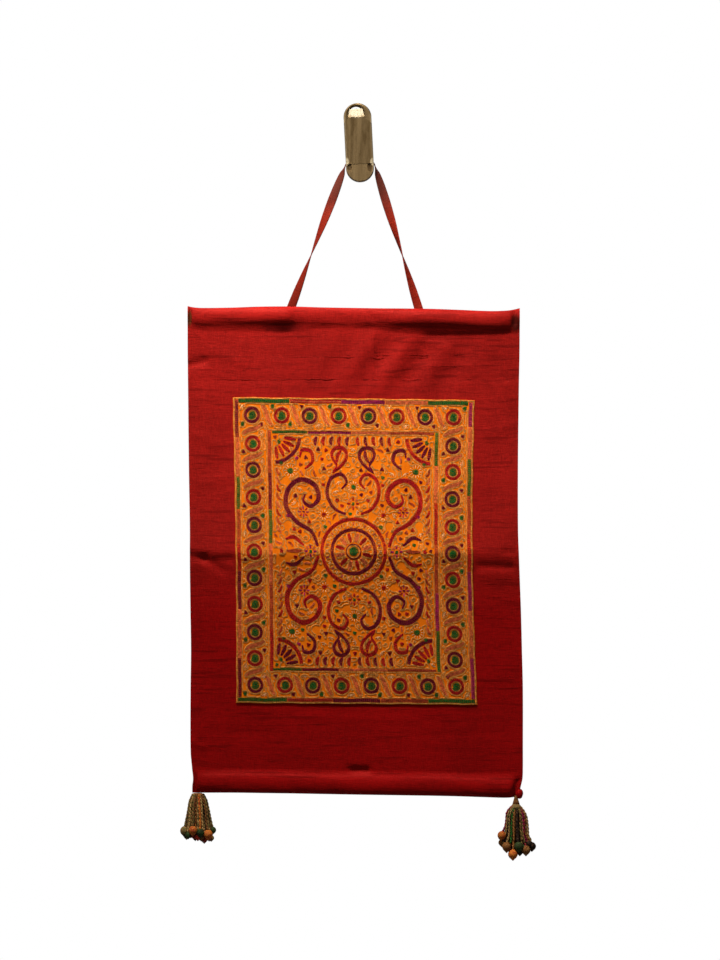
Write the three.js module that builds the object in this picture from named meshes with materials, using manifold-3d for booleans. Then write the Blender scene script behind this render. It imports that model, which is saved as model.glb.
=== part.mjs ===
// Embroidered textile panel hanging by a tape from a brass wall hook. Millimetres, +Z up.
// The origin is on the hook's flat back, +Y points into the wall and the cloth's front faces -Y.
// "down" is always the distance below the origin, "forward" the distance out from the wall side.
import * as THREE from 'three';
import { mergeVertices } from 'three/addons/utils/BufferGeometryUtils.js';
import Module from 'manifold-3d';

const wasm = await Module();
wasm.setup();

const GAP = 0.3;

// Brass hook: a cast body with rounded ends, a slot for the tape, a front lip and an eye
const hook = {
  width: 28.7, height: 81.5, depth: 17, edge: 1.6, lean: 2.8,
  slotBack: 3.5, slotFront: 13, floor: 21.2, floorCorner: 4.5,
  eyeHalf: 8, eyeTop: 37.2, eyeCentre: 26,
  lipShoulder: 20, tongueFoot: 24, tongueTop: 34, tongueFootHalf: 8.6, tongueTopHalf: 6.6, tongueSlope: 2.8,
  footLine: 23, footStep: 0.7, dimpleAcross: 10.2, dimpleDown: 26.4, dimpleHalf: [1.9, 2.6, 3.7],
};

// Tape: one flat strip with both its ends sewn behind the top sleeve
const tape = { width: 8.9, thick: 1.2, slotForward: 8.25 };

// Turn of the tape about its own run, down each leg: -90 lies flat in the slot, 0 shows its face
const tapeTurns = [
  { down: 23.0, turn: -90, forward: 8.25 },
  { down: 26.0, turn: -86, forward: 8.25 },
  { down: 28.5, turn: -76, forward: 8.2 },
  { down: 32.0, turn: -56, forward: 8.1 },
  { down: 43.0, turn: -31, forward: 8.0 },
  { down: 60.0, turn: 0, forward: 7.9 },
  { down: 80.0, turn: 33, forward: 7.7 },
  { down: 93.0, turn: 55, forward: 7.5 },
  { down: 105.0, turn: 73, forward: 7.3 },
  { down: 117.0, turn: 92, forward: 7.0 },
  { down: 130.0, turn: 114, forward: 6.4 },
  { down: 142.0, turn: 132, forward: 5.2 },
  { down: 154.0, turn: 152, forward: 3.9 },
  { down: 166.0, turn: 172, forward: 2.5 },
  { down: 172.0, turn: 180, forward: 2.1 },
  { down: 179.5, turn: 180, forward: 1.9 },
  { down: 187.0, turn: 180, forward: 2.2 },
];
const tapeFeet = [
  { side: -1, across: -68.9, down: 168 },
  { side: 1, across: 60.8, down: 168 },
];

// Red cloth: a thin sheet between two filled sleeves
const cloth = { thick: 2, topForward: 12.6, bottomForward: 13.9, topRadius: 9.8, bottomRadius: 10.8 };

// Side edges of the red cloth, top to bottom
const sides = [
  { down: 168, left: -175.6, right: 165.2 },
  { down: 214, left: -175.5, right: 165.0 },
  { down: 255, left: -175.0, right: 164.2 },
  { down: 337, left: -174.0, right: 163.2 },
  { down: 398, left: -172.9, right: 163.2 },
  { down: 429, left: -172.9, right: 164.2 },
  { down: 480, left: -172.4, right: 166.2 },
  { down: 521, left: -171.9, right: 167.3 },
  { down: 562, left: -172.4, right: 168.3 },
  { down: 624, left: -172.4, right: 168.4 },
  { down: 642, left: -171.0, right: 168.4 },
  { down: 653, left: -169.9, right: 168.0 },
  { down: 661, left: -170.7, right: 166.2 },
  { down: 673, left: -170.7, right: 164.0 },
];

// Sleeves across the width: height of the top and bottom edge, of both seams, and how full they are
const sleeves = [
  { share: 0, top: 168.3, bottom: 667.4, topSew: 189, bottomSew: 642.5, topFull: 0.2, bottomFull: 0.25 },
  { share: 0.014, top: 169.4, bottom: 667.6, topSew: 189, bottomSew: 643.4, topFull: 0.66, bottomFull: 0.62 },
  { share: 0.04, top: 170.2, bottom: 667.6, topSew: 189.4, bottomSew: 644.4, topFull: 0.98, bottomFull: 0.95 },
  { share: 0.128, top: 169.9, bottom: 667.6, topSew: 189.8, bottomSew: 644.6, topFull: 1, bottomFull: 1 },
  { share: 0.215, top: 168.9, bottom: 668, topSew: 193, bottomSew: 644.8, topFull: 1.07, bottomFull: 1 },
  { share: 0.308, top: 168.7, bottom: 668.4, topSew: 193.4, bottomSew: 645, topFull: 1, bottomFull: 1.02 },
  { share: 0.4, top: 169.6, bottom: 669, topSew: 190.6, bottomSew: 645.4, topFull: 0.97, bottomFull: 1 },
  { share: 0.5, top: 170.2, bottom: 669.6, topSew: 190.4, bottomSew: 647.2, topFull: 0.98, bottomFull: 0.96 },
  { share: 0.58, top: 170.6, bottom: 670, topSew: 191.4, bottomSew: 646.6, topFull: 0.98, bottomFull: 1 },
  { share: 0.66, top: 170.8, bottom: 670.4, topSew: 195.6, bottomSew: 647, topFull: 1.02, bottomFull: 1.02 },
  { share: 0.74, top: 171.2, bottom: 670.8, topSew: 197.2, bottomSew: 647.6, topFull: 1.08, bottomFull: 1 },
  { share: 0.82, top: 172.2, bottom: 671.4, topSew: 196.8, bottomSew: 648, topFull: 1.05, bottomFull: 1 },
  { share: 0.91, top: 173.4, bottom: 672.4, topSew: 196, bottomSew: 648.4, topFull: 1.02, bottomFull: 1 },
  { share: 0.962, top: 172.9, bottom: 672.8, topSew: 195, bottomSew: 648.6, topFull: 0.95, bottomFull: 0.93 },
  { share: 0.986, top: 171.6, bottom: 672, topSew: 194.5, bottomSew: 648.2, topFull: 0.66, bottomFull: 0.55 },
  { share: 1, top: 170.4, bottom: 670.6, topSew: 194.5, bottomSew: 648, topFull: 0.2, bottomFull: 0.22 },
];

// How far the hanging sheet stands forward of the line between its seams: it bows out to the old fold
const belly = [
  { down: 190, forward: 0.0 },
  { down: 204, forward: 0.9 },
  { down: 225, forward: 2.3 },
  { down: 260, forward: 4.1 },
  { down: 320, forward: 7.0 },
  { down: 380, forward: 9.9 },
  { down: 412, forward: 11.5 },
  { down: 421, forward: 12.0 },
  { down: 427, forward: 11.4 },
  { down: 433, forward: 10.1 },
  { down: 441, forward: 9.1 },
  { down: 456, forward: 8.4 },
  { down: 500, forward: 6.5 },
  { down: 560, forward: 3.9 },
  { down: 610, forward: 1.6 },
  { down: 648, forward: 0.0 },
];

// Soft troughs and ridges in the sheet beside the embroidered cloth, where the old fold breaks up
const creases = [
  { fromAcross: -173, fromDown: 424.5, toAcross: -158, toDown: 427.0, rise: -2.2, half: 4.5 },
  { fromAcross: -158, fromDown: 427.0, toAcross: -140, toDown: 438.5, rise: -1.6, half: 4.5 },
  { fromAcross: -146, fromDown: 428.0, toAcross: -131, toDown: 427.5, rise: -1.2, half: 4.0 },
  { fromAcross: 149, fromDown: 420.5, toAcross: 158, toDown: 420.5, rise: -1.2, half: 3.5 },
  { fromAcross: 123, fromDown: 435.5, toAcross: 156, toDown: 435.5, rise: -2.0, half: 4.0 },
  { fromAcross: -176, fromDown: 231.0, toAcross: -163, toDown: 227.0, rise: -1.0, half: 5.0 },
];

// Ripples that run down from the top sleeve and die out
const ripples = { height: 0.8, pitch: 96, start: 196, fade: 70, rest: 0.15 };

// Corner knot of red cloth that the right tassel hangs under
const knot = { across: 164.6, down: 668.2, forward: 13.9, half: [3.4, 3.4, 4.9] };

// Orange cloth: its outline, corner by corner, and its thickness
const patch = {
  topLeft: [-128.8, 261.7], topRight: [119.2, 264.8],
  bottomLeft: [-125.8, 574.3], bottomRight: [122.3, 576.4],
  thick: 1, lift: 0.6, edgeWave: 0.5, edgePitch: 41,
};

// Rows and columns of the sheet's mesh
const sheetRows = [
  203, 212, 226, 243, 259, 272, 288, 306, 325, 345, 365, 385, 402, 414, 421, 427, 433, 441, 452,
  468, 486, 505, 525, 545, 565, 582, 600, 617, 632, 641,
];
const sheetColumns = [
  0, 0.014, 0.04, 0.08, 0.118, 0.155, 0.2, 0.245, 0.29, 0.335, 0.38, 0.425, 0.47, 0.515, 0.56,
  0.605, 0.65, 0.695, 0.74, 0.785, 0.83, 0.85, 0.885, 0.925, 0.962, 0.986, 1,
];
const rollSteps = 7;
const rollEnd = -50;

// Tassels. The head is turned to a profile of radius against drop, flattened in depth. "spread" is how
// far a strand has moved out to its ball's place at a share of its length.
// Balls: across and forward from the tassel's axis, drop below its top, radius
const strandHalf = 1.5;
const headDepthShare = 0.8;
const tasselLeft = {
  across: -165.2, forward: 13.9, top: 667.95, rootDrop: 3.4,
  head: [
    { radius: 6.6, drop: 0 },
    { radius: 7.0, drop: 2.4 },
    { radius: 8.0, drop: 6.2 },
    { radius: 6.6, drop: 8.6 },
  ],
  spread: [
    { share: 0, out: 0.26 },
    { share: 0.2, out: 0.54 },
    { share: 0.45, out: 0.72 },
    { share: 0.7, out: 0.83 },
    { share: 1, out: 1 },
  ],
  balls: [
    { across: -13.8, forward: 1.5, drop: 38.4, radius: 4.2 },
    { across: -8.8, forward: 6.2, drop: 44.8, radius: 3.4 },
    { across: -4.6, forward: 8.6, drop: 37.5, radius: 4.2 },
    { across: 0.4, forward: 6.4, drop: 46.6, radius: 3.3 },
    { across: 3.0, forward: 9.0, drop: 40.2, radius: 3.6 },
    { across: 7.2, forward: 2.6, drop: 47.4, radius: 3.0 },
    { across: 11.0, forward: 6.4, drop: 41.8, radius: 4.3 },
    { across: 13.8, forward: -1.0, drop: 46.0, radius: 3.0 },
    { across: 15.2, forward: -3.4, drop: 38.2, radius: 3.6 },
    { across: -11.6, forward: -5.6, drop: 43.6, radius: 3.6 },
    { across: -6.6, forward: -7.8, drop: 37.6, radius: 3.8 },
    { across: -2.6, forward: -4.0, drop: 44.8, radius: 3.5 },
    { across: 2.4, forward: -8.4, drop: 40.4, radius: 3.6 },
    { across: 6.6, forward: -4.4, drop: 48.6, radius: 2.8 },
    { across: 10.8, forward: -7.0, drop: 44.0, radius: 3.6 },
    { across: 0.0, forward: 0.4, drop: 38.5, radius: 3.4 },
  ],
};
const tasselRight = {
  across: 161.3, forward: 13.9, top: 673.2, rootDrop: 8.2,
  head: [
    { radius: 1.9, drop: 0 },
    { radius: 3.3, drop: 5.6 },
    { radius: 5.4, drop: 9.0 },
    { radius: 6.2, drop: 11.4 },
    { radius: 4.6, drop: 13.6 },
  ],
  spread: [
    { share: 0, out: 0.2 },
    { share: 0.12, out: 0.42 },
    { share: 0.28, out: 0.62 },
    { share: 0.55, out: 0.72 },
    { share: 0.8, out: 0.84 },
    { share: 1, out: 1 },
  ],
  balls: [
    { across: -15.6, forward: 2.8, drop: 37.8, radius: 4.1 },
    { across: -14.4, forward: -1.2, drop: 45.6, radius: 3.6 },
    { across: -9.8, forward: 6.0, drop: 49.3, radius: 4.2 },
    { across: -5.0, forward: 1.6, drop: 44.6, radius: 3.4 },
    { across: -3.4, forward: 7.4, drop: 57.6, radius: 4.3 },
    { across: 2.4, forward: 8.6, drop: 48.6, radius: 4.1 },
    { across: 3.8, forward: 2.2, drop: 55.0, radius: 3.3 },
    { across: 10.4, forward: 5.6, drop: 53.4, radius: 4.0 },
    { across: 16.6, forward: 1.2, drop: 49.4, radius: 3.9 },
    { across: -9.0, forward: -6.2, drop: 43.0, radius: 3.6 },
    { across: -6.4, forward: -4.6, drop: 51.4, radius: 3.7 },
    { across: -0.6, forward: -8.0, drop: 46.2, radius: 3.7 },
    { across: 4.2, forward: -5.2, drop: 52.6, radius: 3.5 },
    { across: 7.6, forward: -7.4, drop: 45.4, radius: 3.7 },
    { across: 12.6, forward: -2.4, drop: 43.0, radius: 3.5 },
    { across: 2.0, forward: 0.4, drop: 41.5, radius: 3.4 },
  ],
};

const materials = {
  silk: new THREE.MeshStandardMaterial({ color: 0x9a1812, roughness: 0.62, metalness: 0 }),
  orangeCloth: new THREE.MeshStandardMaterial({ color: 0xd8730f, roughness: 0.75, metalness: 0 }),
  tape: new THREE.MeshStandardMaterial({ color: 0x9a1812, roughness: 0.6, metalness: 0 }),
  brass: new THREE.MeshStandardMaterial({ color: 0x8a6a38, roughness: 0.35, metalness: 1 }),
  thread: new THREE.MeshStandardMaterial({ color: 0x7a5a28, roughness: 0.85, metalness: 0 }),
};

const radians = THREE.MathUtils.degToRad;

// Value of a table's column at a place, with smooth slopes through the rows
function along(table, key, column, at) {
  const last = table.length - 1;
  if (at <= table[0][key]) return table[0][column];
  if (at >= table[last][key]) return table[last][column];
  const i = table.findIndex((row) => row[key] > at) - 1;
  const slope = (a, b) => (table[b][column] - table[a][column]) / (table[b][key] - table[a][key]);
  const step = table[i + 1][key] - table[i][key];
  const t = (at - table[i][key]) / step;
  const startSlope = slope(Math.max(i - 1, 0), i + 1) * step;
  const endSlope = slope(i, Math.min(i + 2, last)) * step;
  const rise = table[i + 1][column] - table[i][column];
  return table[i][column] + startSlope * t
    + (3 * rise - 2 * startSlope - endSlope) * t * t
    + (startSlope + endSlope - 2 * rise) * t * t * t;
}

// Manifold solids: from a closed geometry, and back to a mesh
function solid(geometry) {
  const bare = geometry.clone();
  bare.deleteAttribute('normal');
  bare.deleteAttribute('uv');
  const merged = mergeVertices(bare, 1e-4);
  return new wasm.Manifold(new wasm.Mesh({
    numProp: 3,
    vertProperties: new Float32Array(merged.attributes.position.array),
    triVerts: new Uint32Array(merged.index.array),
  }));
}

function geometryOf(body) {
  const mesh = body.getMesh();
  const geometry = new THREE.BufferGeometry();
  geometry.setAttribute('position', new THREE.BufferAttribute(new Float32Array(mesh.vertProperties), 3));
  geometry.setIndex(new THREE.BufferAttribute(new Uint32Array(mesh.triVerts), 1));
  return geometry;
}

function node(name, geometry, material) {
  geometry.computeVertexNormals();
  const mesh = new THREE.Mesh(geometry, material);
  mesh.name = name;
  return mesh;
}

function indexed(points, triangles) {
  const geometry = new THREE.BufferGeometry();
  geometry.setAttribute('position', new THREE.Float32BufferAttribute(points.flat(), 3));
  geometry.setIndex(triangles.flat());
  return geometry;
}

// The red sheet's middle surface: how far forward it stands at a place
function creaseRise(across, down) {
  let total = 0;
  for (const crease of creases) {
    const runAcross = crease.toAcross - crease.fromAcross;
    const runDown = crease.toDown - crease.fromDown;
    const share = ((across - crease.fromAcross) * runAcross + (down - crease.fromDown) * runDown)
      / (runAcross ** 2 + runDown ** 2);
    const near = THREE.MathUtils.clamp(share, 0, 1);
    const awayAcross = across - crease.fromAcross - near * runAcross;
    const awayDown = down - crease.fromDown - near * runDown;
    const away = Math.hypot(awayAcross, awayDown);
    total += crease.rise * Math.exp(-((away / crease.half) ** 2));
  }
  return total;
}

function sheetForward(across, down) {
  const seams = [belly[0].down, belly.at(-1).down];
  const seamShare = THREE.MathUtils.clamp((down - seams[0]) / (seams[1] - seams[0]), 0, 1);
  const seamLine = THREE.MathUtils.lerp(cloth.topForward, cloth.bottomForward, seamShare);
  const dying = Math.exp(-Math.max(down - ripples.start, 0) / ripples.fade);
  const fading = ripples.rest + (1 - ripples.rest) * dying;
  const ripple = ripples.height * fading * Math.sin((2 * Math.PI * across) / ripples.pitch);
  const bow = along(belly, 'down', 'forward', down);
  return seamLine + bow + ripple * seamShare ** 0.2 + creaseRise(across, down);
}

const leftEdge = (down) => along(sides, 'down', 'left', down);
const rightEdge = (down) => along(sides, 'down', 'right', down);
const acrossAt = (share, down) => THREE.MathUtils.lerp(leftEdge(down), rightEdge(down), share);

// The same surface as the mesh has it, flat between its rows and columns
function facetForward(across, down) {
  const between = (list, at) => {
    const before = list.findIndex((entry) => entry > at) - 1;
    return THREE.MathUtils.clamp(before, 0, list.length - 2);
  };
  const rowForward = (rowDown) => {
    const share = (across - leftEdge(rowDown)) / (rightEdge(rowDown) - leftEdge(rowDown));
    const c = between(sheetColumns, share);
    const [from, to] = [sheetColumns[c], sheetColumns[c + 1]];
    const height = (columnShare) => sheetForward(acrossAt(columnShare, rowDown), rowDown);
    return THREE.MathUtils.mapLinear(share, from, to, height(from), height(to));
  };
  const r = between(sheetRows, down);
  const [above, below] = [sheetRows[r], sheetRows[r + 1]];
  return THREE.MathUtils.mapLinear(down, above, below, rowForward(above), rowForward(below));
}

// One column of the red cloth from its top line to its bottom line: a front and a back point on each row
function clothColumn(share) {
  const at = (column) => along(sleeves, 'share', column, share);
  const rows = [];
  const addRoll = (centreForward, centreDown, radius, full, fromAngle, toAngle) => {
    for (let step = 0; step <= rollSteps; step += 1) {
      const angle = radians(THREE.MathUtils.lerp(fromAngle, toAngle, step / rollSteps));
      const down = centreDown - radius * Math.sin(angle);
      const out = radius * Math.max(Math.cos(angle), 0);
      rows.push({ down, front: centreForward + out * full, back: centreForward - out * Math.min(full, 1) });
    }
  };
  const addSheet = (down) => {
    const middle = sheetForward(acrossAt(share, down), down);
    rows.push({ down, front: middle + cloth.thick / 2, back: middle - cloth.thick / 2 });
  };
  const topCentre = at('top') + cloth.topRadius;
  const bottomCentre = at('bottom') - cloth.bottomRadius;
  addRoll(cloth.topForward, topCentre, cloth.topRadius, at('topFull'), 90, rollEnd);
  addSheet(at('topSew'));
  sheetRows.forEach(addSheet);
  addSheet(at('bottomSew'));
  addRoll(cloth.bottomForward, bottomCentre, cloth.bottomRadius, at('bottomFull'), -rollEnd, -90);
  return rows.map((row) => ({ ...row, across: acrossAt(share, row.down) }));
}

// Closed skin over columns of front and back points, whose first and last rows meet in one line
function closedSheet(columns, meetsAtEnds) {
  const points = [];
  const triangles = [];
  const rowCount = columns[0].length;
  const addPoint = (across, forward, down) => points.push([across, -forward, -down]) - 1;
  const front = columns.map((rows) => rows.map((row) => addPoint(row.across, row.front, row.down)));
  const back = columns.map((rows, c) => rows.map((row, r) => {
    const shared = meetsAtEnds && (r === 0 || r === rowCount - 1);
    return shared ? front[c][r] : addPoint(row.across, row.back, row.down);
  }));
  const addQuad = (a, b, c, d) => {
    if (a !== b && b !== c && a !== c) triangles.push([a, b, c]);
    if (a !== c && c !== d && a !== d) triangles.push([a, c, d]);
  };
  const lastColumn = columns.length - 1;
  const lastRow = rowCount - 1;
  for (let c = 0; c < lastColumn; c += 1) {
    for (let r = 0; r < rowCount - 1; r += 1) {
      addQuad(front[c][r], front[c][r + 1], front[c + 1][r + 1], front[c + 1][r]);
      addQuad(back[c][r], back[c + 1][r], back[c + 1][r + 1], back[c][r + 1]);
    }
    if (!meetsAtEnds) {
      addQuad(front[c][0], front[c + 1][0], back[c + 1][0], back[c][0]);
      addQuad(front[c][lastRow], back[c][lastRow], back[c + 1][lastRow], front[c + 1][lastRow]);
    }
  }
  for (let r = 0; r < rowCount - 1; r += 1) {
    addQuad(front[0][r], back[0][r], back[0][r + 1], front[0][r + 1]);
    addQuad(front[lastColumn][r], front[lastColumn][r + 1], back[lastColumn][r + 1], back[lastColumn][r]);
  }
  return indexed(points, triangles);
}

function groundCloth() {
  const sheet = solid(closedSheet(sheetColumns.map(clothColumn), true));
  const lump = new THREE.SphereGeometry(1, 10, 8);
  lump.scale(...knot.half);
  lump.translate(knot.across, -knot.forward, -knot.down);
  return geometryOf(sheet.add(solid(lump)));
}

// Orange cloth: its inner points stand over the red sheet's own rows and columns
function embroideredPanel() {
  const edgeWave = (at, phase) => patch.edgeWave * Math.sin((2 * Math.PI * at) / patch.edgePitch + phase);
  const mix = (from, to, share, axis) => THREE.MathUtils.lerp(from[axis], to[axis], share);
  const heightShare = (down) => (down - patch.topLeft[1]) / (patch.bottomLeft[1] - patch.topLeft[1]);
  const left = (down) => mix(patch.topLeft, patch.bottomLeft, heightShare(down), 0) + edgeWave(down, 0.4);
  const right = (down) => mix(patch.topRight, patch.bottomRight, heightShare(down), 0) + edgeWave(down, 2.1);
  const widthShare = (across) => (across - patch.topLeft[0]) / (patch.topRight[0] - patch.topLeft[0]);
  const top = (across) => mix(patch.topLeft, patch.topRight, widthShare(across), 1) + edgeWave(across, 1.3);
  const bottomLine = (across) => mix(patch.bottomLeft, patch.bottomRight, widthShare(across), 1);
  const bottom = (across) => bottomLine(across) + edgeWave(across, 3.2);
  const isInside = (down) => down > patch.topRight[1] + 3 && down < patch.bottomLeft[1] - 3;
  const innerRows = sheetRows.filter(isInside);
  const innerShares = sheetColumns.filter((share) => share > 0.15 && share < 0.86);
  const point = (across, down) => {
    const back = facetForward(across, down) + cloth.thick / 2 + patch.lift;
    return { across, down, back, front: back + patch.thick };
  };
  const column = (acrossOf) => [
    point(acrossOf(top(acrossOf(patch.topLeft[1]))), top(acrossOf(patch.topLeft[1]))),
    ...innerRows.map((down) => point(acrossOf(down), down)),
    point(acrossOf(bottom(acrossOf(patch.bottomLeft[1]))), bottom(acrossOf(patch.bottomLeft[1]))),
  ];
  const inner = innerShares.map((share) => column((down) => acrossAt(share, down)));
  return closedSheet([column(left), ...inner, column(right)], false);
}

// Frame along a run: the tape's flat side turned about the run from facing the front
function stripAlong(stations, width, thick) {
  const points = [];
  const triangles = [];
  const frontDirection = new THREE.Vector3(0, -1, 0);
  stations.forEach((station, i) => {
    const before = stations[Math.max(i - 1, 0)].at;
    const after = stations[Math.min(i + 1, stations.length - 1)].at;
    const run = after.clone().sub(before).normalize();
    const facing = frontDirection.clone().addScaledVector(run, -frontDirection.dot(run)).normalize();
    const side = facing.clone().cross(run);
    const turn = radians(station.turn);
    const wide = side.clone().multiplyScalar(Math.cos(turn)).addScaledVector(facing, Math.sin(turn));
    const flat = wide.clone().cross(run);
    for (const [w, f] of [[-1, -1], [1, -1], [1, 1], [-1, 1]]) {
      const corner = station.at.clone();
      corner.addScaledVector(wide, (w * width) / 2).addScaledVector(flat, (f * thick) / 2);
      points.push(corner.toArray());
    }
  });
  for (let i = 0; i < stations.length - 1; i += 1) {
    for (let k = 0; k < 4; k += 1) {
      const a = 4 * i + k;
      const b = 4 * i + ((k + 1) % 4);
      triangles.push([a, b + 4, b], [a, a + 4, b + 4]);
    }
  }
  const end = 4 * (stations.length - 1);
  triangles.push([0, 1, 2], [0, 2, 3], [end, end + 2, end + 1], [end, end + 3, end + 2]);
  return indexed(points, triangles);
}

// Tape: up the left leg, over the slot's floor and down the right leg. Each leg is the taut line
// from its foot to the round side of the floor.
function tapeStations() {
  const lineDown = hook.floor - 1.75 * GAP - tape.thick / 2;
  const bendRadius = hook.floorCorner + 1.75 * GAP + tape.thick / 2;
  const lean = radians(hook.lean);
  const upAngle = Math.PI / 2 + lean;
  const legs = tapeFeet.map((foot) => {
    const centre = new THREE.Vector2(foot.side * (hook.width / 2 - hook.floorCorner), -lineDown - bendRadius);
    centre.rotateAround(new THREE.Vector2(), lean);
    const toFoot = new THREE.Vector2(foot.across, -foot.down).sub(centre);
    const leaveAngle = toFoot.angle() + foot.side * Math.acos(bendRadius / toFoot.length());
    const onBend = (angle) => new THREE.Vector3(
      centre.x + bendRadius * Math.cos(angle), -tape.slotForward, centre.y + bendRadius * Math.sin(angle),
    );
    const lastAngle = foot.side > 0 ? leaveAngle - 2 * Math.PI : leaveAngle;
    const bend = [0.03, 0.26, 0.5, 0.75].map((share) => (
      { at: onBend(THREE.MathUtils.lerp(upAngle, lastAngle, share)), turn: -90 }
    ));
    const leave = onBend(lastAngle);
    const downs = [];
    for (let down = -leave.z; down < 150; down += 5.2) downs.push(down);
    const straight = [...downs, 154, 160, 166, 172, 176, 179.5, 183, 187].map((down) => {
      const across = THREE.MathUtils.mapLinear(down, -leave.z, foot.down, leave.x, foot.across);
      const forward = along(tapeTurns, 'down', 'forward', down);
      return { at: new THREE.Vector3(across, -forward, -down), turn: along(tapeTurns, 'down', 'turn', down) };
    });
    return [...bend, ...straight];
  });
  return [...legs[0].reverse(), ...legs[1]];
}

function hangingTape() {
  return stripAlong(tapeStations(), tape.width, tape.thick);
}

// Outline with round ends, and the outline of a rounded bar
function stadium(halfWidth, halfHeight) {
  const shape = new THREE.Shape();
  shape.absarc(0, halfHeight - halfWidth, halfWidth, 0, Math.PI, false);
  shape.absarc(0, halfWidth - halfHeight, halfWidth, Math.PI, 2 * Math.PI, false);
  return shape;
}

// Solid of a front outline, from one distance forward of the wall to another
function frontExtrude(shape, from, to, bevel = 0, curveSegments = 9) {
  const geometry = new THREE.ExtrudeGeometry(shape, {
    depth: to - from - 2 * bevel, curveSegments, bevelEnabled: bevel > 0,
    bevelThickness: bevel, bevelSize: bevel, bevelOffset: -bevel, bevelSegments: 2,
  });
  geometry.translate(0, 0, from + bevel);
  geometry.rotateX(Math.PI / 2);
  return solid(geometry);
}

// Solid of a side outline, drawn forward and up, from one place across to another
function sideExtrude(shape, left, right) {
  const geometry = new THREE.ExtrudeGeometry(shape, { depth: right - left, bevelEnabled: false });
  const forwardToBack = new THREE.Vector3(0, -1, 0);
  const up = new THREE.Vector3(0, 0, 1);
  const turn = new THREE.Matrix4().makeBasis(forwardToBack, up, new THREE.Vector3(-1, 0, 0));
  geometry.applyMatrix4(turn);
  geometry.translate(right, 0, 0);
  return solid(geometry);
}

function boxSolid(left, right, forwardFrom, forwardTo, bottom, top) {
  const geometry = new THREE.BoxGeometry(right - left, forwardTo - forwardFrom, top - bottom);
  geometry.translate((left + right) / 2, -(forwardFrom + forwardTo) / 2, (top + bottom) / 2);
  return solid(geometry);
}

function wallHook() {
  const half = hook.width / 2;
  const past = hook.height;
  let body = frontExtrude(stadium(half, hook.height / 2), 0, hook.depth, hook.edge);

  // Slot for the tape, whose floor is rounded off at both sides
  const slotShape = new THREE.Shape();
  const floorHeight = -hook.floor;
  const inner = half - hook.floorCorner;
  slotShape.moveTo(-past, past);
  slotShape.lineTo(-past, floorHeight - hook.floorCorner);
  slotShape.lineTo(-half, floorHeight - hook.floorCorner);
  slotShape.absarc(-inner, floorHeight - hook.floorCorner, hook.floorCorner, Math.PI, Math.PI / 2, true);
  slotShape.absarc(inner, floorHeight - hook.floorCorner, hook.floorCorner, Math.PI / 2, 0, true);
  slotShape.lineTo(past, floorHeight - hook.floorCorner);
  slotShape.lineTo(past, past);
  body = body.subtract(frontExtrude(slotShape, hook.slotBack, hook.slotFront));

  // Eye through the back plate's arch
  const eye = new THREE.Shape();
  eye.absarc(0, hook.eyeTop - hook.eyeHalf, hook.eyeHalf, 0, Math.PI, false);
  eye.lineTo(-hook.eyeHalf, hook.eyeCentre - hook.eyeHalf);
  eye.lineTo(hook.eyeHalf, hook.eyeCentre - hook.eyeHalf);
  body = body.subtract(frontExtrude(eye, -1, hook.slotBack + 1));

  // Front lip: shoulders, a narrower tongue and its sloping face
  const aboveLip = new THREE.Shape();
  aboveLip.moveTo(-past, past);
  aboveLip.lineTo(-past, hook.lipShoulder);
  aboveLip.lineTo(-half, hook.lipShoulder);
  aboveLip.quadraticCurveTo(-half + 1, hook.tongueFoot, -hook.tongueFootHalf, hook.tongueFoot);
  aboveLip.lineTo(-hook.tongueTopHalf, hook.tongueTop - 1.5);
  aboveLip.quadraticCurveTo(-hook.tongueTopHalf, hook.tongueTop, -hook.tongueTopHalf + 2, hook.tongueTop);
  aboveLip.lineTo(hook.tongueTopHalf - 2, hook.tongueTop);
  aboveLip.quadraticCurveTo(hook.tongueTopHalf, hook.tongueTop, hook.tongueTopHalf, hook.tongueTop - 1.5);
  aboveLip.lineTo(hook.tongueFootHalf, hook.tongueFoot);
  aboveLip.quadraticCurveTo(half - 1, hook.tongueFoot, half, hook.lipShoulder);
  aboveLip.lineTo(past, hook.lipShoulder);
  aboveLip.lineTo(past, past);
  body = body.subtract(frontExtrude(aboveLip, hook.slotFront - 1, hook.depth + 1, 0, 5));
  const slope = new THREE.Shape();
  slope.moveTo(hook.depth, hook.tongueFoot);
  slope.lineTo(hook.depth - hook.tongueSlope, hook.tongueTop + 0.4);
  slope.lineTo(hook.depth + 1, hook.tongueTop + 0.4);
  slope.lineTo(hook.depth + 1, hook.tongueFoot);
  body = body.subtract(sideExtrude(slope, -half, half));

  // Line above the foot, and the two dimples beside it
  const footFront = hook.depth - hook.footStep;
  body = body.subtract(boxSolid(-past, past, footFront, hook.depth + 1, -past, -hook.footLine));
  for (const side of [-1, 1]) {
    const dimple = new THREE.SphereGeometry(1, 10, 7);
    dimple.scale(...hook.dimpleHalf);
    dimple.translate(side * hook.dimpleAcross, -hook.depth, -hook.dimpleDown);
    body = body.subtract(solid(dimple));
  }
  const geometry = geometryOf(body);
  geometry.rotateY(-radians(hook.lean));
  return geometry;
}

// Strand: a four-sided cord from the tassel's head that swells outwards and ends in its ball
function strand(tassel, ball) {
  const steps = 6;
  const length = ball.drop - ball.radius * 0.7 - tassel.rootDrop;
  const points = [];
  for (let step = 0; step <= steps; step += 1) {
    const share = step / steps;
    const out = along(tassel.spread, 'share', 'out', share);
    const drop = tassel.rootDrop + length * share;
    points.push(new THREE.Vector3(ball.across * out, -ball.forward * out, -drop));
  }
  const corners = [[-1, -1], [1, -1], [1, 1], [-1, 1]].map(([x, y]) => new THREE.Vector2(x, y));
  const shape = new THREE.Shape(corners.map((corner) => corner.multiplyScalar(strandHalf)));
  const path = new THREE.CatmullRomCurve3(points);
  return solid(new THREE.ExtrudeGeometry(shape, { steps, extrudePath: path, bevelEnabled: false }));
}

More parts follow.
